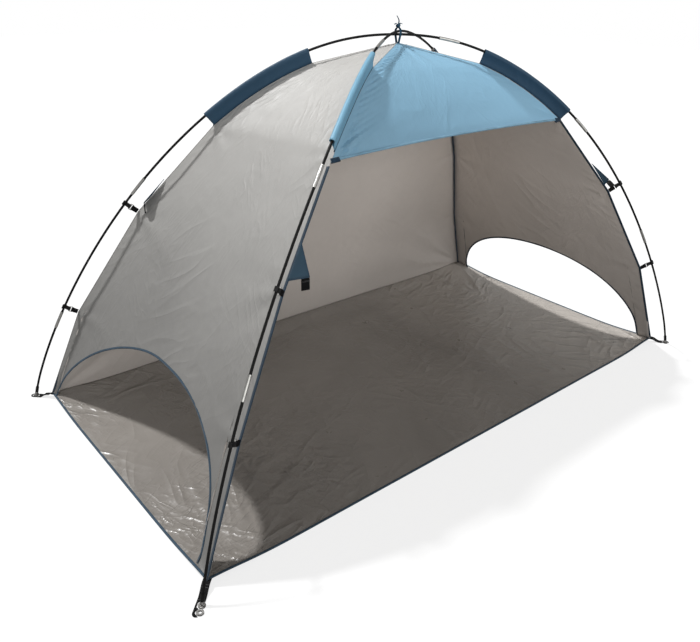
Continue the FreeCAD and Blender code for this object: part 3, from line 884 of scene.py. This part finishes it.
def make_gusset(corner):
    """A doubled triangle of cloth with a rolled edge, slightly dished by the pull of its loop."""
    low, high, tip = gusset_corners(corner)
    normal = (high - low).cross(tip - low).normalized()
    steps = 14
    points, uvs, faces = [], [], []
    rows = []
    for j in range(steps + 1):
        row = []
        for i in range(steps + 1 - j):
            a, b = i / steps, j / steps
            place = low + (high - low) * a + (tip - low) * b
            middle = 27.0 * a * b * (1.0 - a - b)
            place += normal * (0.0022 * middle + 0.0005 * noise.noise(place * 60.0) * middle)
            row.append(len(points))
            points.append(place)
            uvs.append((a * (high - low).length, b * (tip - low).length))
        rows.append(row)
    for j in range(steps):
        for i in range(len(rows[j]) - 1):
            faces.append((rows[j][i], rows[j][i + 1], rows[j + 1][i]))
            if i < len(rows[j + 1]) - 1:
                faces.append((rows[j][i + 1], rows[j + 1][i + 1], rows[j + 1][i]))
    cloth = make_object("gusset_cloth_" + corner, points, faces, uvs)
    solidify(cloth, 0.0010, 0.0)
    edge = rod("gusset_edge_" + corner, spaced([low, mix(low, tip, 0.5), tip], 0.004), 0.0009, 8)
    other = rod("gusset_edge", spaced([tip, mix(tip, high, 0.5), high], 0.004), 0.0009, 8)
    return cloth, join("gusset_edge_" + corner, [edge, other])


def stitches(middle, across, radius):
    """A row of stitches across webbing."""
    ends = [middle - across * STITCH_HALF, middle, middle + across * STITCH_HALF]
    return rod("stitches", ends, radius, 6)


def make_guy_loop(corner):
    """Webbing folded into a loop, sewn under the gusset."""
    joint = next(j for j in frame["joints"] if j["name"] == corner + "_tab_swing")
    mount = next(m for m in frame["record"]["mounts"] if m["name"] == "guy_loop_" + corner)
    across = Vector(joint["axis"]).normalized()
    down = Vector(mount["axis"]).normalized()
    top = Vector(joint["pos_m"]) - down * 0.003
    normal = across.cross(down)
    length = (Vector(mount["pos_m"]) - top).length
    half = 0.0011
    path = [top + down * (length * k / 8) + normal * (half * smooth(k / 4)) for k in range(8)]
    path += [top + down * (length + 0.0006) + normal * half * way for way in (0.7, -0.7)]
    path += [top + down * (length * k / 8) - normal * (half * smooth(k / 4)) for k in reversed(range(8))]
    path = [path[0]] + spaced(path, 0.0012)[1:]
    loop = tape("guy_loop_" + corner, path, [across] * len(path), 0.0200, 0.0011)
    stitch = []
    for face in (1.0, -1.0):
        for k in (0.22, 0.30):
            place = top + down * (length * k) + normal * face * 0.0019
            stitch.append(stitches(place, across, 0.0004))
    return loop, join("guy_loop_stitch_" + corner, stitch)


def clip_frames():
    """For every clip: its name, pole point, the ways along the pole and inwards."""
    found = []
    for joint in frame["joints"]:
        if not joint["name"].endswith("_hook_swing"):
            continue
        name = joint["name"][:-len("_hook_swing")]
        corner = name.rsplit("_", 1)[0]
        hinge = Vector(joint["pos_m"])
        line = POLES[POLE_OF[corner]]
        along = -Vector(joint["axis"]).normalized()
        middle = line.at(line.nearest(hinge))
        inward = hinge - middle
        inward = (inward - along * inward.dot(along)).normalized()
        found.append((name, hinge, along, inward))
    return found


def strap_height(share):
    """How high the strap is between the foot and the lifted corner of the groundsheet."""
    return STRAP_MIDDLE + (CORNER_LIFT + 0.001 - STRAP_MIDDLE) * smooth(share)


def drop_loose(built):
    bmesh.ops.delete(built, geom=[v for v in built.verts if not v.link_faces], context="VERTS")


def make_corner_strap(corner):
    """Webbing from under the groundsheet's corner to the pole's foot, holed for its eyelets."""
    low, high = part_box("corner_strap_" + corner)
    inner = Vector((math.copysign(FLOOR_HALF_X, low.x), math.copysign(FLOOR_HALF_Y, low.y), 0.0))
    eyelets = [p for p in EYELETS if p.x * inner.x > 0 and p.y * inner.y > 0]
    eyelets.sort(key=lambda p: (p - inner).length)
    foot = eyelets[0]
    out = (foot - inner).normalized()
    across = UP.cross(out)
    tip = max((p - inner).dot(out) for p in node_points("corner_strap_" + corner))
    start = -0.012
    flat_from = (foot - inner).length - 0.012
    twist = STRAP_TWIST.get(corner, 0.0)
    round_end = 0.010        # half the strap's width, and the radius of its outer end
    hole = 0.0062            # a little inside the eyelets' rims

    def place_at(u, v):
        run = mix(start, tip, v)
        share = 1.0 - run / flat_from
        turn = twist * smooth(share * 1.5) * (1.0 - smooth(share * 1.5 - 0.8))
        side = across * math.cos(turn) + UP * math.sin(turn)
        rounded = max((run - tip + round_end) / (round_end * 1.01), 0.0)
        half = round_end * math.sqrt(max(1.0 - rounded ** 2, 0.0))
        offset = mix(-half, half, u)
        return inner + out * run + UP * strap_height(share) + side * offset, (run, offset)

    def keep(centre):
        return min((centre.xy - p.xy).length for p in eyelets) > hole

    strap = surface("strap_" + corner, 14, 66, place_at, keep)
    reshape(strap, drop_loose)
    solidify(strap, WEBBING, 0.0)
    tacks = []
    for run in (0.010, 0.016, flat_from + 0.001):
        middle = inner + out * run + UP * (strap_height(1.0 - run / flat_from) + 0.0008)
        tacks.append(stitches(middle, across, 0.0005))
    return strap, join("strap_stitches_" + corner, tacks)


def make_clip_straps():
    """Webbing from the seam round each ring's far bar and back."""
    bar = 0.0080             # from the ring's near bar to its far bar
    seam = 0.0290            # from the near bar to the seam
    pieces = []
    for name, hinge, along, inward in clip_frames():
        across = along.cross(inward)
        centre = hinge + inward * bar
        path = [hinge + inward * (seam - 0.003) + across * 0.0009]
        path += [hinge + inward * mix(seam, bar, 0.5) + across * 0.0011]
        for turn in range(90, 271, 20):
            angle = math.radians(turn)
            path.append(centre + inward * (0.0021 * math.cos(angle)) + across * (0.0021 * math.sin(angle)))
        path += [hinge + inward * mix(seam, bar, 0.5) - across * 0.0011]
        path += [hinge + inward * (seam - 0.003) - across * 0.0009]
        line = spaced(path, 0.0012)
        pieces.append(tape("strap", line, [along] * len(line), 0.0150, 0.0013))
    return join("clip_webbing", pieces)


def make_tie():
    """The tape that hangs the canopy's peak from the poles, with its knot and loose ends."""
    crossing = POLES["pole_a"].at(POLES["pole_a"].nearest(PEAK))
    crossing = Vector((PEAK.x, PEAK.y, crossing.z + 0.004))
    across = Vector((1.0, 0.0, 0.0))
    offsets = [(0.001, -0.0395), (0.0085, -0.012), (0.0115, 0.000), (0.0085, 0.010), (0.0, 0.0145),
               (-0.0085, 0.010), (-0.0115, 0.000), (-0.0085, -0.012), (-0.001, -0.0395)]
    path = spaced([crossing + Vector((0.0, y, z)) for y, z in offsets], 0.0015)
    loop = tape("tie_loop", path, [across] * len(path), 0.0085, 0.0013)
    knot_middle = crossing + Vector((0.0, 0.0, 0.0185))
    knot_points = []
    for i in range(73):
        t = 2 * math.pi * i / 72
        across_knot = Vector((math.sin(t) + 2 * math.sin(2 * t), math.cos(t) - 2 * math.cos(2 * t), 0.0))
        around = across_knot - UP * (1.3 * math.sin(3 * t))
        knot_points.append(knot_middle + around * 0.0017)
    knot = rod("tie_knot", knot_points, 0.0024, 10)
    top = knot_middle + Vector((0.0, 0.0, 0.002))
    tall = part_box("apex_tie")[1].z - top.z - 0.0025
    ends = []
    for name, way, bend in (
            ("long", Vector((-0.005, 0.002, tall)), Vector((0.005, 0.0, 0.0))),
            ("left", Vector((-0.0125, 0.003, 0.002)), Vector((0.0, 0.0, 0.003))),
            ("right", Vector((0.010, -0.006, 0.003)), Vector((0.0, 0.0, 0.003)))):
        line = spaced([top, top + way * 0.5 + bend, top + way], 0.0015)
        ends.append(tape("tie_end_" + name, line, [Vector((0.3, 1.0, 0.2))] * len(line), 0.0055, 0.0014))
    return join("peak_tie", [loop, knot] + ends)


# --- materials ---
class Shader:
    """A material's node tree, with short calls to add and link nodes."""

    def __init__(self, name, roughness, metallic=0.0, specular=0.5):
        self.material = bpy.data.materials.new(name)
        self.material.use_nodes = True
        self.tree = self.material.node_tree
        self.surface = self.tree.nodes["Principled BSDF"]
        self.surface.inputs["Roughness"].default_value = roughness
        self.surface.inputs["Metallic"].default_value = metallic
        self.surface.inputs["Specular IOR Level"].default_value = specular
        self.bumps = []
        coords = self.tree.nodes.new("ShaderNodeTexCoord")
        self.place = coords.outputs["Object"]
        uv = self.tree.nodes.new("ShaderNodeUVMap")
        uv.uv_map = "metres"
        self.metres = uv.outputs["UV"]

    def put(self, socket, value):
        if isinstance(value, bpy.types.NodeSocket):
            self.tree.links.new(value, socket)
        else:
            socket.default_value = value

    def math(self, operation, a, b=None, c=None):
        node = self.tree.nodes.new("ShaderNodeMath")
        node.operation = operation
        for socket, value in zip(node.inputs, (a, b, c)):
            if value is not None:
                self.put(socket, value)
        return node.outputs[0]

    def noise(self, scale, detail=3.0, rough=0.55, warp=0.0, where=None):
        node = self.tree.nodes.new("ShaderNodeTexNoise")
        self.put(node.inputs["Vector"], where or self.place)
        node.inputs["Scale"].default_value = scale
        node.inputs["Detail"].default_value = detail
        node.inputs["Roughness"].default_value = rough
        node.inputs["Distortion"].default_value = warp
        return node.outputs["Fac"]

    def ramp(self, value, low, high, to_low=0.0, to_high=1.0):
        node = self.tree.nodes.new("ShaderNodeMapRange")
        self.put(node.inputs["Value"], value)
        for key, number in (("From Min", low), ("From Max", high), ("To Min", to_low), ("To Max", to_high)):
            node.inputs[key].default_value = number
        return node.outputs["Result"]

    def blend(self, share, a, b, mode="MIX"):
        node = self.tree.nodes.new("ShaderNodeMix")
        node.data_type = "RGBA"
        node.blend_type = mode
        self.put(node.inputs["Factor"], share)
        self.put(node.inputs["A"], colour4(a))
        self.put(node.inputs["B"], colour4(b))
        return node.outputs["Result"]

    def split(self, where):
        """The X, Y and Z of coordinates."""
        node = self.tree.nodes.new("ShaderNodeSeparateXYZ")
        self.put(node.inputs[0], where)
        return node.outputs

    def wave(self, pitch, direction):
        """Light and dark bands on the cloth, each one pitch wide."""
        node = self.tree.nodes.new("ShaderNodeTexWave")
        node.bands_direction = direction
        self.put(node.inputs["Vector"], self.metres)
        # at a scale of 1 a metre holds 3.2 pairs of bands
        node.inputs["Scale"].default_value = 1.0 / (2 * pitch) / 3.2
        return node.outputs["Fac"]

    def weave(self, pitch, strength, distance):
        self.bump(self.math("MULTIPLY", self.wave(pitch, "X"), self.wave(pitch, "Y")), strength, distance)

    def along(self, turn, stretch):
        """Coordinates on the cloth in which noise is drawn out along one direction."""
        node = self.tree.nodes.new("ShaderNodeMapping")
        node.vector_type = "TEXTURE"
        self.put(node.inputs["Vector"], self.metres)
        node.inputs["Rotation"].default_value = (0.0, 0.0, math.radians(turn))
        node.inputs["Scale"].default_value = (stretch, 1.0, 1.0)
        return node.outputs["Vector"]

    def ridges(self, value, sharpness, power):
        """Thin raised lines where the value passes its middle."""
        off = self.math("ABSOLUTE", self.math("SUBTRACT", value, 0.5))
        lines = self.math("SUBTRACT", 1.0, self.math("MINIMUM", self.math("MULTIPLY", off, sharpness), 1.0))
        return self.math("POWER", lines, power)

    def bump(self, height, strength, distance):
        node = self.tree.nodes.new("ShaderNodeBump")
        self.put(node.inputs["Height"], height)
        node.inputs["Strength"].default_value = strength
        node.inputs["Distance"].default_value = distance
        if self.bumps:
            self.tree.links.new(self.bumps[-1], node.inputs["Normal"])
        self.bumps.append(node.outputs["Normal"])

    def finish(self, colour, roughness=None):
        self.put(self.surface.inputs["Base Color"], colour4(colour))
        if roughness is not None:
            self.put(self.surface.inputs["Roughness"], roughness)
        if self.bumps:
            self.tree.links.new(self.bumps[-1], self.surface.inputs["Normal"])
        return self.material


def colour4(value):
    return (*value, 1.0) if isinstance(value, tuple) and len(value) == 3 else value


def shade(colour, factor):
    return tuple(min(c * factor, 1.0) for c in colour)


def cloth(name, colour, roughness, variation=0.10, creases=0.5, sheen=0.0, low=1.0,
          heights=(0.2, 1.15, 1.6), right=1.0):
    """Coated plain-weave cloth with tone changes, creases and its weave.

    low is how dark the cloth gets near the ground, painted shade where less light reaches it, and
    heights is where it starts and stops getting lighter, and the power of the rise between;
    right is how much lighter it gets towards +X.
    """
    s = Shader(name, roughness, specular=0.4)
    s.surface.inputs["Sheen Weight"].default_value = sheen
    broad = s.ramp(s.noise(2.2, 4.0, warp=0.4), 0.3, 0.7)
    small = s.ramp(s.noise(38.0, 4.0), 0.3, 0.7)
    tone = s.blend(broad, shade(colour, 1.0 - variation), shade(colour, 1.0 + variation * 0.7))
    tone = s.blend(s.math("MULTIPLY", small, 0.35), tone, shade(colour, 1.0 - variation * 1.2))
    for turn, scale, stretch, depth in CREASES:
        patch = s.ramp(s.noise(2.6, 2.0, where=s.along(turn + 20.0, 1.3)), 0.48, 0.62)
        lines = s.ridges(s.noise(scale, 2.0, 0.45, 0.3, s.along(turn, stretch)), 9.0, 1.6)
        s.bump(s.math("MULTIPLY", lines, patch), creases, depth)
    s.weave(THREAD, 0.25, 0.0001)
    worn = s.ramp(small, 0.0, 1.0, roughness - 0.05, roughness + 0.06)
    # painted shade: the cloth darker towards the ground, where less light falls on it
    if low < 1.0:
        uneven = s.math("ADD", s.split(s.place)[2], s.math("MULTIPLY", s.noise(3.0), 0.12))
        start, stop, power = heights
        height = s.math("POWER", s.ramp(uneven, start, stop), power)
        tone = s.blend(s.ramp(height, 0.0, 1.0, low, 1.0), (0.0, 0.0, 0.0), tone)
    # lighter towards +X
    if right > 1.0:
        tone = s.blend(s.ramp(s.split(s.place)[0], -0.35, 0.65), tone, shade(colour, right))
    return s.finish(tone, worn)


def binding(name, colour, width, rows=(0.36,), thread_colour=None):
    """Folded tape with ribs across it and rows of stitches near its edges."""
    s = Shader(name, 0.72, specular=0.25)
    s.surface.inputs["Sheen Weight"].default_value = 0.15
    along, across, _ = s.split(s.metres)
    tone = s.blend(s.ramp(s.noise(30.0, 4.0), 0.3, 0.7), shade(colour, 0.82), shade(colour, 1.15))
    ribs = s.math("SINE", s.math("MULTIPLY", along, 2 * math.pi / THREAD))
    s.bump(ribs, 0.25, 0.0001)
    step = s.math("FRACT", s.math("DIVIDE", along, STITCH))
    dash = s.math("LESS_THAN", step, STITCH_SHARE)
    for row in rows:
        off = s.math("ABSOLUTE", s.math("SUBTRACT", s.math("ABSOLUTE", across), row * width))
        line = s.math("MULTIPLY", s.math("LESS_THAN", off, STITCH_THREAD), dash)
        tone = s.blend(line, tone, thread_colour or shade(colour, 0.45))
        s.bump(line, 0.5, 0.0003)
    return s.finish(tone)


def webbing(name, colour):
    """Woven strap: diagonal ribs and a slightly worn edge."""
    s = Shader(name, 0.75, specular=0.12)
    x, y, z = s.split(s.place)
    diagonal = s.math("ADD", s.math("ADD", x, s.math("MULTIPLY", y, 0.7)), z)
    ribs = s.math("SINE", s.math("MULTIPLY", diagonal, 2 * math.pi / 0.0024))
    s.bump(ribs, 0.5, 0.0003)
    fibres = s.noise(700.0, 2.0)
    s.bump(fibres, 0.3, 0.0002)
    tone = s.blend(s.ramp(ribs, -1.0, 1.0), shade(colour, 0.6), shade(colour, 1.3))
    dust = s.ramp(s.noise(14.0, 5.0), 0.55, 0.8, 0.0, 0.2)
    return s.finish(s.blend(dust, tone, (0.05, 0.047, 0.042)))


def plastic(name, colour, roughness):
    s = Shader(name, roughness, specular=0.3)
    s.bump(s.noise(900.0, 2.0), 0.15, 0.0002)
    scuff = s.ramp(s.noise(45.0, 6.0, 0.7), 0.55, 0.75, 0.0, 0.25)
    tone = s.blend(scuff, colour, shade(colour, 3.0))
    return s.finish(tone, s.ramp(s.noise(60.0, 4.0), 0.3, 0.7, roughness - 0.08, roughness + 0.12))


def rod_skin(name, colour):
    """Pultruded glass-fibre rod: fine long fibres under a clear resin skin."""
    s = Shader(name, 0.42, specular=0.12)
    streaks = s.noise(420.0, 3.0, 0.6)
    tone = s.blend(s.ramp(streaks, 0.35, 0.65), shade(colour, 0.7), shade(colour, 1.5))
    rubbed = s.ramp(s.noise(26.0, 6.0, 0.7), 0.6, 0.8, 0.0, 0.2)
    s.bump(streaks, 0.12, 0.0001)
    return s.finish(s.blend(rubbed, tone, (0.05, 0.047, 0.045)), s.ramp(streaks, 0.3, 0.7, 0.36, 0.52))


def metal(name, colour, roughness, blacked_above=None):
    """Drawn steel: fine scratches and duller patches, and black above a height if one is given."""
    s = Shader(name, roughness, metallic=1.0)
    scratches = s.noise(520.0, 4.0, 0.65)
    s.bump(scratches, 0.10, 0.0001)
    patches = s.ramp(s.noise(40.0, 5.0), 0.4, 0.75)
    tone = s.blend(patches, colour, shade(colour, 0.72))
    if blacked_above is not None:
        black = s.math("GREATER_THAN", s.split(s.place)[2], blacked_above)
        tone = s.blend(black, tone, shade(colour, 0.06))
    return s.finish(tone, s.ramp(scratches, 0.3, 0.7, roughness - 0.08, roughness + 0.14))


def coated_floor(name, colour):
    """Woven groundsheet with a glossy coating, creased from folding.

    It is painted paler towards +X, a painted reflection of the bright surroundings near the right window, and
    its creases are deeper near both windows.
    """
    s = Shader(name, 0.34, specular=0.55)
    broad = s.ramp(s.noise(1.8, 5.0, warp=0.6), 0.3, 0.7)
    tone = s.blend(broad, shade(colour, 0.86), shade(colour, 1.12))
    sand = s.ramp(s.noise(20.0, 6.0, 0.7), 0.58, 0.8, 0.0, 0.35)
    tone = s.blend(sand, tone, (0.20, 0.18, 0.155))
    x = s.split(s.place)[0]
    # painted reflection of the bright surroundings: paler towards +X
    tone = s.blend(s.ramp(x, 0.30, 0.90), tone, shade(colour, 1.9))
    sides = s.ramp(s.math("ABSOLUTE", x), 0.40, 0.85, 1.0, 2.6)
    for turn, scale, stretch, depth in FLOOR_CREASES:
        patch = s.ramp(s.noise(2.2, 2.0, where=s.along(turn + 30.0, 1.2)), 0.38, 0.6)
        lines = s.ridges(s.noise(scale, 2.0, 0.5, 0.4, s.along(turn, stretch)), 8.0, 1.5)
        s.bump(s.math("MULTIPLY", s.math("MULTIPLY", lines, patch), sides), 0.6, depth)
    s.weave(FLOOR_THREAD, 0.2, 0.0002)
    return s.finish(tone, s.ramp(s.noise(12.0, 4.0), 0.3, 0.7, 0.27, 0.42))


def make_materials():
    silver = (0.52, 0.51, 0.49)
    taupe = (0.88, 0.81, 0.75)
    blue = (0.21, 0.385, 0.52)
    # a darker copy of the sleeves' blue, painted shade
    sleeve_shaded_blue = (0.018, 0.062, 0.115)
    deep_blue = (0.008, 0.037, 0.065)
    return {
        # low on the walls and the lining is painted shade towards the ground
        "shell": cloth("silver_coated_cloth", silver, 0.50, creases=0.8, low=0.40),
        "lining": cloth("taupe_lining", taupe, 0.6, variation=0.05, creases=0.6, low=0.45,
                        heights=(0.1, 0.7, 1.0)),
        # right makes the roof lighter towards +X
        "roof": cloth("blue_cloth", blue, 0.5, variation=0.08, creases=0.35, right=1.55),
        "roof_lining": cloth("blue_lining", shade(blue, 0.7), 0.6),
        "gusset": cloth("deep_blue_cloth", deep_blue, 0.55, creases=0.3),
        # painted shade: a darker copy of the blue sleeve cloth, for the sleeves seen from their shaded side
        "sleeve_painted_shade": cloth("sleeve_cloth_painted_shade", sleeve_shaded_blue, 0.6, creases=0.6, sheen=0.1),
        "sleeve_blue": cloth("light_blue_cloth", (0.20, 0.42, 0.58), 0.5, creases=0.5),
        "tape_edge": binding("edge_tape", (0.016, 0.036, 0.060), EDGE_TAPES["front_left"], (0.0, 0.36)),
        "tape_blue": binding("blue_tape", (0.029, 0.060, 0.093), WINDOW_TAPE),
        "tape_dark": binding("dark_tape", (0.012, 0.025, 0.042), WINDOW_TAPE),
        "tape_navy": binding("navy_tape", (0.012, 0.035, 0.065), FIN_WIDTH),
        "hem": binding("hem_cloth", shade(blue, 0.95), 0.011, rows=(0.40,), thread_colour=shade(blue, 0.6)),
        "floor": coated_floor("groundsheet_coating", (0.225, 0.208, 0.19)),
        "webbing": webbing("black_webbing", (0.006, 0.006, 0.0065)),
        "tie": webbing("navy_webbing", (0.02, 0.07, 0.12)),
        "thread": plastic("grey_thread", (0.09, 0.09, 0.09), 0.7),
        "rod": rod_skin("black_rod", (0.007, 0.007, 0.007)),
        "steel": metal("ferrule_steel", (0.62, 0.61, 0.58), 0.34),
        "dull_steel": metal("tip_steel", (0.50, 0.495, 0.48), 0.42, blacked_above=TIP_BRIGHT),
        "eyelet": metal("eyelet_steel", (0.42, 0.415, 0.40), 0.32),
        "bright": metal("bright_steel", (0.70, 0.69, 0.66), 0.25),
        "plastic": plastic("black_plastic", (0.007, 0.007, 0.007), 0.42),
        "elastic": plastic("elastic_cord", (0.55, 0.55, 0.52), 0.7),
    }


def paint(piece, *materials):
    """Fills every material slot; a piece without slots gets one for each material."""
    slots = piece.data.materials
    while len(slots) < len(materials):
        slots.append(materials[len(slots)])
    for i in range(len(slots)):
        slots[i] = materials[min(i, len(materials) - 1)]


# --- putting it together ---
def settle(piece, material, slot, *nodes, body="shelter"):
    """Rides a piece on a body, paints it and hides the CAD nodes it stands for; slot is not used."""
    paint(piece, material)
    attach(piece, body)
    if nodes:
        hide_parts(*nodes)
    return piece


def dress_cad(looks):
    """Materials for the CAD nodes whose own shapes show."""
    for name, piece in frame["nodes"].items():
        for part, look in CAD_LOOKS:
            if part in name:
                paint(piece, looks[look])


def dress_canopy(looks):
    canopy, hem_points = make_canopy()
    paint(canopy, looks["shell"], looks["roof"], looks["lining"], looks["roof_lining"])
    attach(canopy, "shelter")
    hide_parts("left_wall", "right_wall", "back_wall", "roof_panel")
    for side in SIDES:
        name = side + "_window_binding"
        look = looks["tape_blue" if side == "left" else "tape_dark"]
        settle(window_tape(side), look, "blue_piping", name)
    for corner in CORNERS:
        seam = outer_seam(corner)
        settle(seam, looks["shell"], "shell_fabric", "seam_binding_" + corner)
        lowest = 0
        if corner.startswith("front"):
            look = looks["tape_edge" if corner == "front_left" else "tape_navy"]
            settle(edge_tape(corner), look, "blue_piping")
            lowest = HEM_STATION
        fin = inner_fin(corner, lowest, SLEEVE_END_STATION)
        settle(fin, looks["tape_navy"], "blue_piping")
    settle(roof_hem(hem_points), looks["hem"], "blue_fabric")
    for first in (True, False):
        settle(roof_corner(hem_points, first), looks["tape_navy"], "blue_piping")


def dress_floor(looks):
    sheet = settle(make_groundsheet(), looks["floor"], "floor_coated", "groundsheet")
    edge = settle(make_floor_tape(), looks["tape_blue"], "blue_piping", "groundsheet_binding")


def dress_fittings(looks):
    for corner in CORNERS:
        # the front-left sleeve has the blue sleeve cloth and the others a darker copy of it, painted shade
        look = looks["sleeve_blue"] if corner == "front_left" else looks["sleeve_painted_shade"]
        slot = "blue_fabric" if corner == "front_left" else "navy_fabric"
        sleeve, line = make_sleeve(corner)
        settle(sleeve, look, slot, "sleeve_" + corner)
        # the dark line along the sleeve's seam, partly painted shade
        settle(line, looks["tape_navy"], "blue_piping")
        gusset, edge = make_gusset(corner)
        settle(gusset, looks["gusset"], "blue_fabric", "gusset_" + corner)
        settle(edge, looks["tape_navy"], "blue_piping")
        loop, stitch = make_guy_loop(corner)
        tab = "tab_" + corner
        settle(loop, looks["webbing"], "black_webbing", "guy_tab_" + corner, body=tab)
        settle(stitch, looks["thread"], "black_webbing", body=tab)
        strap, tacks = make_corner_strap(corner)
        settle(strap, looks["webbing"], "black_webbing", "corner_strap_" + corner)
        settle(tacks, looks["thread"], "black_webbing")
    settle(make_clip_straps(), looks["webbing"], "black_webbing", "clip_straps")
    settle(make_tie(), looks["tie"], "navy_tape", "apex_tie")


# --- floor, light and camera ---
def make_stage():
    """The pale floor, the white surroundings and two suns."""
    corners = [(-14.0, -14.0), (14.0, -14.0), (14.0, 14.0), (-14.0, 14.0)]
    ground = make_object("ground", [(x, y, -0.0002) for x, y in corners], [(0, 1, 2, 3)], flat=True)
    s = Shader("pale_floor", 0.85, specular=0.05)
    # the camera sees it nearly white; to all other light it is a mid grey, so it throws little back
    seen = s.tree.nodes.new("ShaderNodeLightPath").outputs["Is Camera Ray"]
    s.surface.inputs["Emission Color"].default_value = (1.0, 1.0, 1.0, 1.0)
    s.put(s.surface.inputs["Emission Strength"], s.math("MULTIPLY", seen, GROUND_GLOW))
    paint(ground, s.finish(s.blend(seen, (0.22, 0.22, 0.22), (0.24, 0.24, 0.24))))
    world = bpy.data.worlds.new("studio")
    bpy.context.scene.world = world
    world.use_nodes = True
    nodes, links = world.node_tree.nodes, world.node_tree.links
    path = nodes.new("ShaderNodeLightPath")
    sky = nodes.new("ShaderNodeMapRange")           # the camera sees white; the sky's light is softer
    sky.inputs["To Min"].default_value = SKY_LIGHT
    sky.inputs["To Max"].default_value = 1.0
    links.new(path.outputs["Is Camera Ray"], sky.inputs["Value"])
    links.new(sky.outputs["Result"], nodes["Background"].inputs["Strength"])
    nodes["Background"].inputs["Color"].default_value = (1.0, 1.0, 1.0, 1.0)
    for name, travel, strength, angle in SUNS:
        sun = bpy.data.lights.new(name, "SUN")
        sun.energy = strength
        sun.angle = math.radians(angle)
        lamp = bpy.data.objects.new(name, sun)
        lamp.rotation_mode = "QUATERNION"
        lamp.rotation_quaternion = Vector(travel).to_track_quat("-Z", "Y")
        bpy.context.scene.collection.objects.link(lamp)


def make_camera():
    azimuth, elevation, roll = (math.radians(angle) for angle in CAMERA_ANGLES)
    turn = Matrix.Rotation(azimuth, 4, "Z") @ Matrix.Rotation(math.pi / 2 - elevation, 4, "X")
    data = bpy.data.cameras.new("camera")
    data.sensor_width = 36.0
    data.lens = CAMERA_LENS
    data.clip_end = 60.0
    camera = bpy.data.objects.new("camera", data)
    camera.matrix_world = Matrix.Translation(CAMERA_PLACE) @ turn @ Matrix.Rotation(-roll, 4, "Z")
    bpy.context.scene.collection.objects.link(camera)
    bpy.context.scene.camera = camera
    bpy.context.scene.view_settings.view_transform = "Standard"


make_camera()
make_stage()
add_fans()
LOOKS = make_materials()
dress_cad(LOOKS)
dress_canopy(LOOKS)
dress_floor(LOOKS)
dress_fittings(LOOKS)

bpy.context.view_layer.update()
